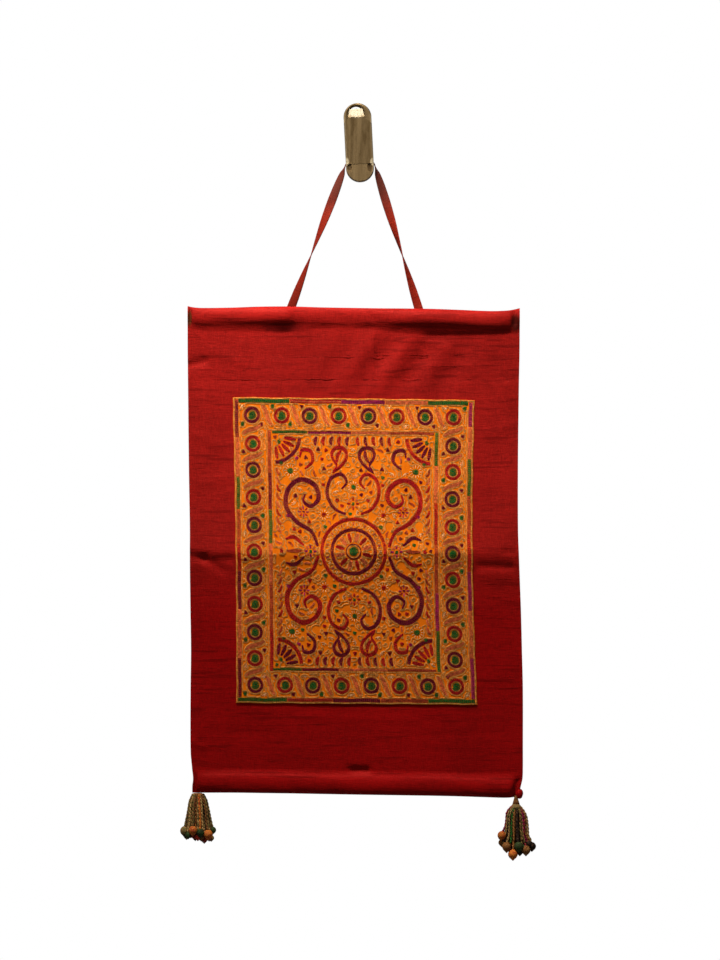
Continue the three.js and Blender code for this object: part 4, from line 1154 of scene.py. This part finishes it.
# The field: a round flower in the middle, then the same branches, paisleys and corner fans four times
# over, turned about the middle, in colours that move on by one each time
field_middle = np.array([123.4, 156.4])
field_threads = ("maroon", "red", "maroon", "red")
sew_disc("green", field_middle, 5.2)
sew_ring("tan", field_middle, 6.4, 1.2)
sew_ring("maroon", field_middle, 7.7)
for number in range(12):
    angle = 30 * number + 15
    petal = field_middle + 14.5 * np.array([math.cos(math.radians(angle)), math.sin(math.radians(angle))])
    sew_leaf(("red", "salmon")[number % 2], petal, angle, 9.5, 3, 0)
for radius in (21.45, 22.6, 23.75):
    sew_ring("maroon", field_middle, radius)
    sew_ring("red", field_middle, radius + 10.5)
for number in range(28):
    turn = 2 * math.pi * number / 28
    ray = np.array([math.cos(turn), math.sin(turn)])
    thread = ("cream", "magenta")[number % 2]
    sew(thread, [field_middle + ray * 26.6, field_middle + ray * 29.8], pitch=1.7, width=1.0)

# outward from the middle, across and down, in the lower right quarter
main_branch = (
    (37, 5), (44, 20), (60, 30), (70, 46), (67, 64), (54, 73), (40, 67), (36, 54), (44, 46), (52, 51),
    (50, 58))
lyre_branch = ((8, 38), (20, 44), (27, 58), (24, 73), (13, 79), (7, 71), (12, 64))
side_branch = ((52, 6), (62, 14), (71, 12))
tendril = ((50, 84), (42, 92), (44, 102), (53, 103), (55, 96))
paisley = (
    (0.55, -1.25), (0.05, -0.95), (-0.45, -0.45), (-0.72, 0.1), (-0.6, 0.65), (-0.1, 0.95), (0.45, 0.8),
    (0.7, 0.3), (0.52, -0.2), (0.24, -0.6), (0.3, -0.95), (0.55, -1.25))
for quarter, (turn_u, turn_v) in enumerate(((1, 1), (-1, 1), (-1, -1), (1, -1))):
    sign = np.array([turn_u, turn_v])
    first, second, third, fourth = (field_threads[(quarter + k) % 4] for k in range(4))
    sew_band(first, field_middle + np.array(main_branch) * sign, 4, 0.5, 0.1)
    sew_band(third, field_middle + np.array(lyre_branch) * sign, 3, 0.5, 0.2)
    sew_band(second, field_middle + np.array(side_branch) * sign, 3, 0.3, 0.2)
    sew_band(fourth, field_middle + np.array(tendril) * sign, 3, 0.2, 0.15)
    for size, thread in ((12.4, second), (11.1, second), (9.8, second)):
        outline = field_middle + (np.array(paisley) * size + (14.5, 95.5)) * sign
        sew(thread, curve(outline))
    sew_leaf(fourth, field_middle + np.array((14.5, 97)) * sign, 90 + 18 * turn_u * turn_v, 13, 3)
    corner = field_middle + np.array((82, 117)) * sign
    facing_in = math.degrees(math.atan2(-turn_v, -turn_u))
    for radius in (25.35, 26.5, 27.65):
        sew(third, circle(corner, radius, facing_in - 41, facing_in + 41))
    for number in range(5):
        fan = facing_in + 18 * (number - 2)
        place = corner + 17 * np.array([math.cos(math.radians(fan)), math.sin(math.radians(fan))])
        sew_leaf((second, fourth)[number % 2], place, fan, 12, 3, 0)
    sew_disc("green", corner - 5.5 * sign, 2.6)
    sew_star(field_middle + np.array((65, 82)) * sign, 6.4)
    sew_flower(field_middle + np.array((52, 40)) * sign * (1, 1), 5.6, 8, "maroon", "magenta", "red")
    sew_star(field_middle + np.array((31, 37)) * sign, 5.2, "red", "cream", 10)
    for number in range(5):
        place = field_middle + np.array((5.5 + 8.2 * number, 112.5)) * sign
        sew_leaf(field_threads[(quarter + number) % 4], place, 90 - 8 * turn_u, 8.5, 3, 0.15)
    for number in range(8):
        place = field_middle + np.array((77.5, 22 + 8.4 * number)) * sign
        sew_leaf(("salmon", "brown", "red")[number % 3], place, 62 * turn_u * turn_v, 8, 2, 0.15)
    for number, place in enumerate(((60, 56), (46, 30), (30, 84), (62, 22), (36, 104))):
        sew_triangle(("maroon", "red")[number % 2], field_middle + np.array(place) * sign, 2.1, 90 * turn_v)
    for number, place in enumerate(((29, 25), (31, 68), (58, 95), (74, 90), (16, 52), (68, 36))):
        sew_disc(("green", "red", "magenta")[number % 3], field_middle + np.array(place) * sign, 2.4)
sew_star(field_middle + np.array((0, 66)), 5.6)
sew_star(field_middle - np.array((0, 66)), 5.6)
for side in (-1, 1):
    sew_flower(field_middle + np.array((0, 49 * side)), 6.4, 8, "green", "red", "salmon")
    sew_flower(field_middle + np.array((45 * side, 0)), 6.4, 8, "green", "magenta", "salmon")
    sew_leaf("brown", field_middle + np.array((62 * side, 0)), 0, 15, 3, 0)
    sew_disc("red", field_middle + np.array((75 * side, 0)), 2.6)

# What is left is measured on a fine grid: how far each spot of cloth is from the nearest coloured stitch
spot = 0.4
grid_rows, grid_columns = int(patch_length / spot) + 1, int(patch_width / spot) + 1
sewn = np.zeros((grid_rows, grid_columns), bool)
for u, v, direction, length, _, _ in np.concatenate(stitches):
    for share in (-0.35, 0, 0.35):
        row = int(round((v + share * length * math.sin(direction)) / spot))
        column = int(round((u + share * length * math.cos(direction)) / spot))
        sewn[min(max(row, 0), grid_rows - 1), min(max(column, 0), grid_columns - 1)] = True
edge_spots = int(edge_in / spot)
sewn[:edge_spots + 1] = sewn[-edge_spots - 1:] = True
sewn[:, :edge_spots + 1] = sewn[:, -edge_spots - 1:] = True
away = np.where(sewn, 0.0, 999.0)
for row in range(1, grid_rows):
    away[row] = np.minimum(away[row], away[row - 1] + 1)
for row in range(grid_rows - 2, -1, -1):
    away[row] = np.minimum(away[row], away[row + 1] + 1)
squares = away**2
nearest = squares.copy()
for shift in range(1, 40):
    nearest[:, shift:] = np.minimum(nearest[:, shift:], squares[:, :-shift] + shift**2)
    nearest[:, :-shift] = np.minimum(nearest[:, :-shift], squares[:, shift:] + shift**2)
clear = np.sqrt(nearest) * spot
spot_v, spot_u = np.mgrid[0:grid_rows, 0:grid_columns] * spot

# Small fillings go into the largest bare places of the field, one after another
fill_kinds = ("dot", "curl", "sprig", "triangle", "curl", "leaf", "bare")
field_spots = (spot_u > 40) & (spot_u < 207) & (spot_v > 38) & (spot_v < 275)
for number in range(420):
    row, column = np.unravel_index(np.argmax(clear * field_spots), clear.shape)
    room_left = clear[row, column]
    if room_left < 4.3:
        break
    middle = np.array([column * spot, row * spot])
    kind = fill_kinds[number % len(fill_kinds)]
    size = min(room_left - 2.2, 3.4)
    angle = float(hand.uniform(0, 360))
    if kind == "dot":
        sew_disc(("green", "red", "maroon")[number % 3], middle, min(size, 2.4))
    elif kind == "curl":
        sew_disc("tan", middle, size, 1.9)
    elif kind == "sprig":
        sew_sprig("cream", middle, min(size, 2.6), angle)
    elif kind == "triangle":
        sew_triangle(("maroon", "red", "brown")[number % 3], middle, min(size, 2.2), angle)
    elif kind == "leaf":
        sew_leaf(("salmon", "brown")[number % 2], middle, angle, size * 2, 2)
    clear = np.minimum(clear, np.maximum(np.hypot(spot_u - middle[0], spot_v - middle[1]) - size, 0))


# Tan rows run round everything else at even distances, as level lines of what is left
def level_lines(level):
    over = clear > level
    crossing = over[:-1, :-1].astype(int) + over[1:, :-1] + over[:-1, 1:] + over[1:, 1:]
    joins = {}
    for row, column in np.argwhere((crossing > 0) & (crossing < 4)):
        row, column = int(row), int(column)
        sides = ((0, row, column), (1, row, column + 1), (0, row + 1, column), (1, row, column))
        ends = [
            side for side in sides
            if over[side[1], side[2]] != over[side[1] + side[0], side[2] + 1 - side[0]]]
        for first, second in zip(ends[::2], ends[1::2]):
            joins.setdefault(first, []).append(second)
            joins.setdefault(second, []).append(first)
    lines = []
    while joins:
        here = next(iter(joins))
        path = [here]
        while joins.get(here):
            following = joins[here].pop()
            joins[following].remove(here)
            if not joins[here]:
                del joins[here]
            here = following
            path.append(here)
        joins.pop(here, None)
        places = []
        for upright, row, column in path:
            first, second = clear[row, column], clear[row + upright, column + 1 - upright]
            share = (level - first) / (second - first)
            places.append(((column + share * (1 - upright)) * spot, (row + share * upright) * spot))
        lines.append(np.array(places))
    return lines


def smoothed(points, reach=4):
    turned = np.concatenate([points[-reach - 1:-1], points, points[1:reach + 1]])
    total = np.cumsum(np.concatenate([np.zeros((1, 2)), turned]), axis=0)
    return (total[2 * reach + 1:] - total[:-2 * reach - 1]) / (2 * reach + 1)


edge_square = [(edge_in, edge_in), (patch_width - edge_in, edge_in)]
edge_square += [(over, patch_length - down) for over, down in edge_square[::-1]]
for first, last in zip(edge_square, edge_square[1:] + edge_square[:1]):
    sew("tan", [first, last], width=1.35)
for level in (1.6, 3.35, 5.1):
    for outline in level_lines(level):
        length = np.hypot(*np.diff(outline, axis=0).T).sum()
        if length > 6:
            sew("tan", smoothed(outline), width=1.42)

# Each thread colour is a finish of its own: matt spun cotton, uneven from link to link
spun_thread = bpy.data.node_groups.new("spun_thread", "ShaderNodeTree")
spun_thread.interface.new_socket("Position", in_out="INPUT", socket_type="NodeSocketVector")
spun_thread.interface.new_socket("Tone", in_out="INPUT", socket_type="NodeSocketFloat")
spun_thread.interface.new_socket("Shade", in_out="OUTPUT", socket_type="NodeSocketFloat")
spun_thread.interface.new_socket("Height", in_out="OUTPUT", socket_type="NodeSocketFloat")
tree = spun_thread
thread_in = tree.nodes.new("NodeGroupInput")
thread_out = tree.nodes.new("NodeGroupOutput")
fibres = cloudy(tree, thread_in.outputs["Position"], (2600, 2600, 2600), 2.0, 0.7)
fading = cloudy(tree, thread_in.outputs["Position"], (45, 45, 45), 2.0, 0.5)
shade = calc(tree, "ADD", calc(tree, "MULTIPLY", fibres, 0.35), calc(tree, "MULTIPLY", fading, 0.25))
shade = calc(tree, "ADD", shade, calc(tree, "MULTIPLY", thread_in.outputs["Tone"], 0.4))
tree.links.new(shade, thread_out.inputs["Shade"])
tree.links.new(fibres, thread_out.inputs["Height"])


def thread_finish(name, paint, deep=0.66, bright=1.25, fleck=None):
    material, tree, shader = finish_of(name)
    spun = tree.nodes.new("ShaderNodeGroup")
    spun.node_tree = spun_thread
    tone = tree.nodes.new("ShaderNodeAttribute")
    tone.attribute_name = "tone"
    tree.links.new(tree.nodes.new("ShaderNodeTexCoord").outputs["Object"], spun.inputs["Position"])
    tree.links.new(tone.outputs["Fac"], spun.inputs["Tone"])
    dark, light = ([min(value * share, 0.95) for value in paint] for share in (deep, bright))
    dyed = mixed(tree, between(tree, spun.outputs["Shade"], 0.25, 0.75), dark, light)
    if fleck:
        place = tree.nodes.new("ShaderNodeTexCoord").outputs["Object"]
        flecked = between(tree, cloudy(tree, place, (700, 700, 420), 1.0), 0.56, 0.64)
        dyed = mixed(tree, flecked, dyed, fleck)
    feed(tree, shader.inputs["Base Color"], dyed)
    feed(tree, shader.inputs["Normal"], raised(tree, spun.outputs["Height"], 0.0002, 0.6))
    shader.inputs["Roughness"].default_value = 0.7
    shader.inputs["Specular IOR Level"].default_value = 0.12
    return material


thread_finishes = [thread_finish(f"{name}_thread", paint) for name, paint in thread_paints.items()]
# along the stitch, across it, up from the cloth: five places round the loop, each outside, top, inside
loop_along = (-0.46, -0.2, 0.34, 0.34, -0.2)
loop_across = (0.0, -0.28, -0.22, 0.22, 0.28)
loop_top = (0.14, 0.4, 0.52, 0.52, 0.4)
link_shape = np.array([
    (x + 0.12 * step * np.sign(x - 0.05), y + 0.22 * step * np.sign(y), top if step == 0 else -0.15)
    for x, y, top in zip(loop_along, loop_across, loop_top) for step in (1, 0, -1)])
link_faces = np.array([
    (3 * i + k, 3 * ((i + 1) % 5) + k, 3 * ((i + 1) % 5) + (k + 1) % 3, 3 * i + (k + 1) % 3)
    for i in range(5) for k in range(3)])


def on_patch(u, v):
    across, down = patch_place(u, v)
    return np.stack([across, -patch_front(across, down), -down], -1)


def sewn_piece(name, chosen):
    u, v, direction, length, width, thread = chosen.T
    here = on_patch(u, v)
    ahead = on_patch(u + 0.5 * np.cos(direction), v + 0.5 * np.sin(direction)) - here
    aside = on_patch(u - 0.5 * np.sin(direction), v + 0.5 * np.cos(direction)) - here
    ahead /= np.linalg.norm(ahead, axis=1)[:, None]
    facing = np.cross(aside, ahead)
    facing /= np.linalg.norm(facing, axis=1)[:, None]
    beside = np.cross(facing, ahead)
    points = (
        here[:, None] + ahead[:, None] * link_shape[None, :, :1] * length[:, None, None]
        + beside[:, None] * link_shape[None, :, 1:2] * width[:, None, None]
        + facing[:, None] * link_shape[None, :, 2:])
    faces = np.arange(len(chosen))[:, None, None] * len(link_shape) + link_faces[None]
    finish_index = np.repeat(thread.astype(int), len(link_faces))
    piece = mesh_piece(
        name, points.reshape(-1, 3) * mm, faces.reshape(-1, 4), thread_finishes, finish_index)
    tone = piece.data.attributes.new("tone", "FLOAT", "POINT")
    shades = np.repeat(hand.uniform(0, 1, len(chosen)), len(link_shape))
    tone.data.foreach_set("value", shades.astype(np.float32))
    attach(piece, "root")
    return piece


# The links lie in four meshes: those of the border and of the field, each in bright and in earthy threads
all_stitches = np.concatenate(stitches)
stitch_u, stitch_v, _, _, _, stitch_thread = all_stitches.T
field_left, field_right, field_top, field_bottom = 39, 208, 37, 276
in_field = (
    (stitch_u > field_left) & (stitch_u < field_right) & (stitch_v > field_top) & (stitch_v < field_bottom))
is_earthy = np.isin(stitch_thread, [threads.index(name) for name in ("tan", "cream", "brown")])
embroidery = [
    sewn_piece("border_colours", all_stitches[~in_field & ~is_earthy]),
    sewn_piece("border_lines", all_stitches[~in_field & is_earthy]),
    sewn_piece("field_colours", all_stitches[in_field & ~is_earthy]),
    sewn_piece("field_lines", all_stitches[in_field & is_earthy]),
]


# The tassels: cotton yarns of many colours, laid double and twisted, bound into a head and sewn to the
# lower corners of the cloth. Each of the outer yarns ends in a small cloth ball with a pointed tip.
tassel_paints = {
    "tan": (0.34, 0.20, 0.072), "olive": (0.16, 0.105, 0.028), "brown": (0.21, 0.076, 0.017),
    "orange": (0.52, 0.15, 0.020), "dark_green": (0.026, 0.035, 0.010), "green": (0.010, 0.085, 0.010),
    "dark_red": (0.17, 0.006, 0.005), "red": (0.42, 0.03, 0.015), "black": (0.016, 0.008, 0.004),
    "magenta": (0.25, 0.009, 0.055),
}
tassel_threads = list(tassel_paints)
# the colour of the fine ends that are spun in with each
tassel_flecks = {
    "tan": (0.07, 0.10, 0.015), "olive": (0.22, 0.05, 0.02), "brown": (0.26, 0.13, 0.04),
    "orange": (0.38, 0.03, 0.02), "dark_green": (0.02, 0.065, 0.01), "green": (0.06, 0.03, 0.01),
    "dark_red": (0.30, 0.05, 0.02), "red": (0.20, 0.02, 0.01), "black": (0.07, 0.03, 0.012),
    "magenta": (0.40, 0.07, 0.02),
}
tassel_finishes = [
    thread_finish(f"tassel_{name}", paint, 0.5, 1.35, tassel_flecks[name])
    for name, paint in tassel_paints.items()]

# across and forward from the tassel's axis, drop below its top, radius, colour of the ball and the yarn
left_balls = (
    (-13.6, 1.5, 38.6, 4.7, "tan", "tan"), (-9.6, 5.0, 42.8, 3.2, "dark_green", "olive"),
    (-4.6, 8.6, 37.7, 4.6, "orange", "olive"), (0.4, 6.4, 44.4, 3.3, "red", "tan"),
    (3.0, 9.0, 40.2, 4.1, "dark_green", "orange"), (7.2, 2.6, 47.4, 3.0, "dark_red", "black"),
    (10.8, 6.4, 42.0, 4.8, "orange", "brown"), (13.8, -1.0, 46.0, 3.0, "olive", "tan"),
    (15.2, -3.4, 38.2, 3.6, "dark_green", "tan"), (-11.6, -5.6, 43.6, 3.6, "olive", "black"),
    (-6.6, -7.8, 37.6, 3.8, "dark_red", "olive"), (-2.6, -4.0, 44.8, 3.5, "dark_green", "dark_red"),
    (2.4, -8.4, 40.4, 3.6, "red", "tan"), (6.6, -4.4, 48.6, 2.8, "dark_red", "green"),
    (10.8, -7.0, 44.0, 3.6, "olive", "brown"), (0.0, 0.4, 38.5, 3.4, "orange", "tan"),
    (-12.4, 2.0, 42.0, 3.2, "black", "olive"), (-3.4, 5.0, 43.0, 3.4, "dark_red", "brown"),
    (-7.0, 2.0, 41.4, 3.6, "dark_red", "brown"),
    (3.8, 5.6, 45.0, 3.2, "brown", "tan"), (11.8, 0.8, 45.4, 3.2, "dark_red", "olive"),
)
right_balls = (
    (-14.6, 2.8, 38.2, 4.7, "orange", "magenta"), (-14.4, -1.2, 45.6, 3.6, "brown", "black"),
    (-9.8, 6.0, 49.3, 4.8, "brown", "tan"), (-5.0, 1.6, 44.6, 3.4, "dark_red", "green"),
    (-3.4, 7.4, 57.0, 4.9, "orange", "brown"), (2.4, 8.6, 48.8, 4.7, "dark_green", "black"),
    (3.8, 2.2, 55.0, 3.3, "black", "brown"), (10.0, 5.6, 52.8, 4.7, "brown", "magenta"),
    (16.2, 1.2, 49.2, 4.3, "black", "tan"), (-9.0, -6.2, 43.0, 3.6, "olive", "olive"),
    (-6.4, -4.6, 51.4, 3.7, "dark_red", "brown"), (-0.6, -8.0, 46.2, 3.7, "black", "tan"),
    (4.2, -5.2, 52.6, 3.5, "brown", "olive"), (7.6, -7.4, 45.4, 3.7, "olive", "black"),
    (12.6, -2.4, 43.0, 3.5, "olive", "brown"), (2.0, 0.4, 41.5, 3.4, "black", "olive"),
    (-12.6, 1.8, 41.6, 3.8, "black", "brown"), (-1.0, 4.0, 51.0, 3.6, "black", "brown"),
    (6.6, 4.6, 50.4, 3.4, "dark_green", "olive"), (13.2, 2.8, 46.6, 3.6, "black", "brown"),
)
# yarns between them, from the right round the front to the left and back behind
left_fillers = (
    "olive", "tan", "tan", "black", "tan", "tan", "brown", "olive", "tan", "olive", "black", "tan",
    "black", "olive", "brown", "tan", "black", "dark_red", "olive", "brown", "tan", "black")
right_fillers = (
    "tan", "olive", "magenta", "tan", "olive", "black", "brown", "green", "black", "tan", "olive", "orange",
    "magenta", "black", "olive", "brown", "tan", "black", "dark_red", "olive", "brown", "tan")
# share of the yarn's length, share of its ball's distance from the axis
left_spread = np.array([(0, 0.37), (0.08, 0.44), (0.2, 0.6), (0.45, 0.73), (0.7, 0.82), (1, 1)])
right_spread = np.array([(0, 0.16), (0.12, 0.44), (0.28, 0.65), (0.55, 0.72), (0.8, 0.78), (1, 1)])
# radius, drop of the bound head
left_head = ((4.4, 0.0), (4.9, 1.2), (5.3, 2.6), (5.6, 4.6), (5.2, 7.0), (3.0, 8.4))
right_neck = ((1.6, -2.6), (1.9, 0.0), (2.4, 1.8), (3.0, 3.8), (3.6, 5.8), (2.0, 7.4))
right_head = ((2.6, 5.2), (3.9, 6.6), (4.9, 8.0), (5.4, 9.4), (5.2, 10.6), (3.4, 11.6))
ball_profile = (
    (0.30, 0.97), (0.62, 0.78), (0.86, 0.46), (0.97, 0.10), (0.94, -0.26), (0.74, -0.66), (0.46, -0.94),
    (0.24, -1.14), (0.12, -1.32))


def ring_faces(rings, sides):
    ring, side = np.mgrid[0:rings - 1, 0:sides]
    beside = (side + 1) % sides
    above, below = ring * sides, (ring + 1) * sides
    corners = (above + side, above + beside, below + beside, below + side)
    return np.stack([corner.ravel() for corner in corners], -1)


def turned_shape(profile, middle, depth, sides, ridges, ridge_height, twist):
    profile = np.array(((0.0, profile[0][1]), *profile, (0.0, profile[-1][1])))
    angle = np.arange(sides)[None, :] * 2 * math.pi / sides
    rows = np.arange(len(profile))[:, None]
    reach = profile[:, :1] * (1 + ridge_height * np.sin(ridges * angle + twist * rows))
    points = np.stack([
        middle[0] + reach * np.cos(angle), middle[1] + reach * depth * np.sin(angle),
        middle[2] + profile[:, 1:] + 0 * angle], -1)
    return points.reshape(-1, 3), ring_faces(len(profile), sides)


def plied_yarn(path, thick, turns_per_mm, sides=5):
    run = np.concatenate([[0], np.cumsum(np.linalg.norm(np.diff(path, axis=0), axis=1))])
    count = max(int(run[-1] / 1.15), 6)
    at = np.linspace(0, run[-1], count)
    line = np.stack([np.interp(at, run, path[:, axis]) for axis in range(3)], -1)
    ahead = np.gradient(line, axis=0)
    ahead /= np.linalg.norm(ahead, axis=1)[:, None]
    over = np.cross(ahead, (0, 1, 0))
    over /= np.linalg.norm(over, axis=1)[:, None]
    out = np.cross(over, ahead)
    shapes = []
    thin = np.clip(np.minimum(at, run[-1] - at) / 1.2, 0.02, 1)
    for ply in (0, math.pi):
        turn = at * turns_per_mm * 2 * math.pi + ply
        middle = line + (over * np.cos(turn)[:, None] + out * np.sin(turn)[:, None]) * thick * 0.27
        angle = np.arange(sides) * 2 * math.pi / sides
        ring = over[:, None] * np.cos(angle)[None, :, None] + out[:, None] * np.sin(angle)[None, :, None]
        points = middle[:, None] + ring * (thick * 0.62 * thin)[:, None, None]
        points[0], points[-1] = middle[0], middle[-1]
        shapes.append((points.reshape(-1, 3), ring_faces(count, sides)))
    return shapes


def tassel(name, axis, root_drop, heads, spread, balls, fillers, full, seed):
    chance = np.random.default_rng(seed)
    shapes = []
    for profile, thread in heads:
        downward = [(radius, -drop) for radius, drop in profile]
        shapes.append((turned_shape(downward, (0, 0, 0), 0.82, 40, 13, 0.045, 0.35), thread))
    yarns = [(over, out, drop - radius * 0.6, thread) for over, out, drop, radius, _, thread in balls]
    usual = sum(drop for _, _, drop, _ in yarns) / len(yarns)
    yarns_round = len(fillers)
    for number in range(2 * yarns_round):
        angle = 2 * math.pi * (number + chance.uniform(-0.3, 0.3)) / yarns_round
        reach = (1.0, 0.62)[number // yarns_round] * chance.uniform(0.9, 1.05)
        thread = fillers[number % yarns_round]
        drop = usual - chance.uniform(-1.5, 2.5)
        yarns.append((full * reach * math.cos(angle), 7.2 * reach * math.sin(angle), drop, thread))
    for over, out, drop, thread in yarns:
        share = np.linspace(0, 1, 14)
        reach = along(spread, 1, share)
        sway = 0.35 * np.sin(share * 7 + over) * share * (1 - share) * 4
        fall = root_drop + (drop - root_drop) * share
        path = np.stack([over * reach + sway, -out * reach, -fall], -1)
        for shape in plied_yarn(path, 1.55, 0.13):
            shapes.append((shape, thread))
    for number, (over, out, drop, radius, thread, _) in enumerate(balls):
        profile = [(share * radius, height * radius) for share, height in ball_profile]
        shape = turned_shape(profile, (over, -out, -drop), 1, 18, 5 + number % 3, 0.05, 0.3)
        shapes.append((shape, thread))
    points, faces, finish_index, tones, start = [], [], [], [], 0
    for (shape_points, shape_faces), thread in shapes:
        points.append(shape_points)
        faces.append(shape_faces + start)
        finish_index += [tassel_threads.index(thread)] * len(shape_faces)
        tones.append(np.full(len(shape_points), chance.uniform(0, 1)))
        start += len(shape_points)
    place = np.array([axis[0], -axis[1], -axis[2]])
    piece = mesh_piece(
        name, (np.concatenate(points) + place) * mm, np.concatenate(faces), tassel_finishes, finish_index)
    tone = piece.data.attributes.new("tone", "FLOAT", "POINT")
    tone.data.foreach_set("value", np.concatenate(tones).astype(np.float32))
    close_up(piece)
    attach(piece, "root")
    return piece


left_tassel = tassel(
    "left_tassel", (-165.2, 13.9, 667.95), 0.5, [(left_head, "brown")],
    left_spread, left_balls, left_fillers, 14.2, 3)
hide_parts("tassel_left")
right_tassel = tassel(
    "right_tassel", (161.3, 13.9, 673.2), 7.0, [(right_neck, "brown"), (right_head, "tan")],
    right_spread, right_balls, right_fillers, 15.2, 5)
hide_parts("tassel_right")
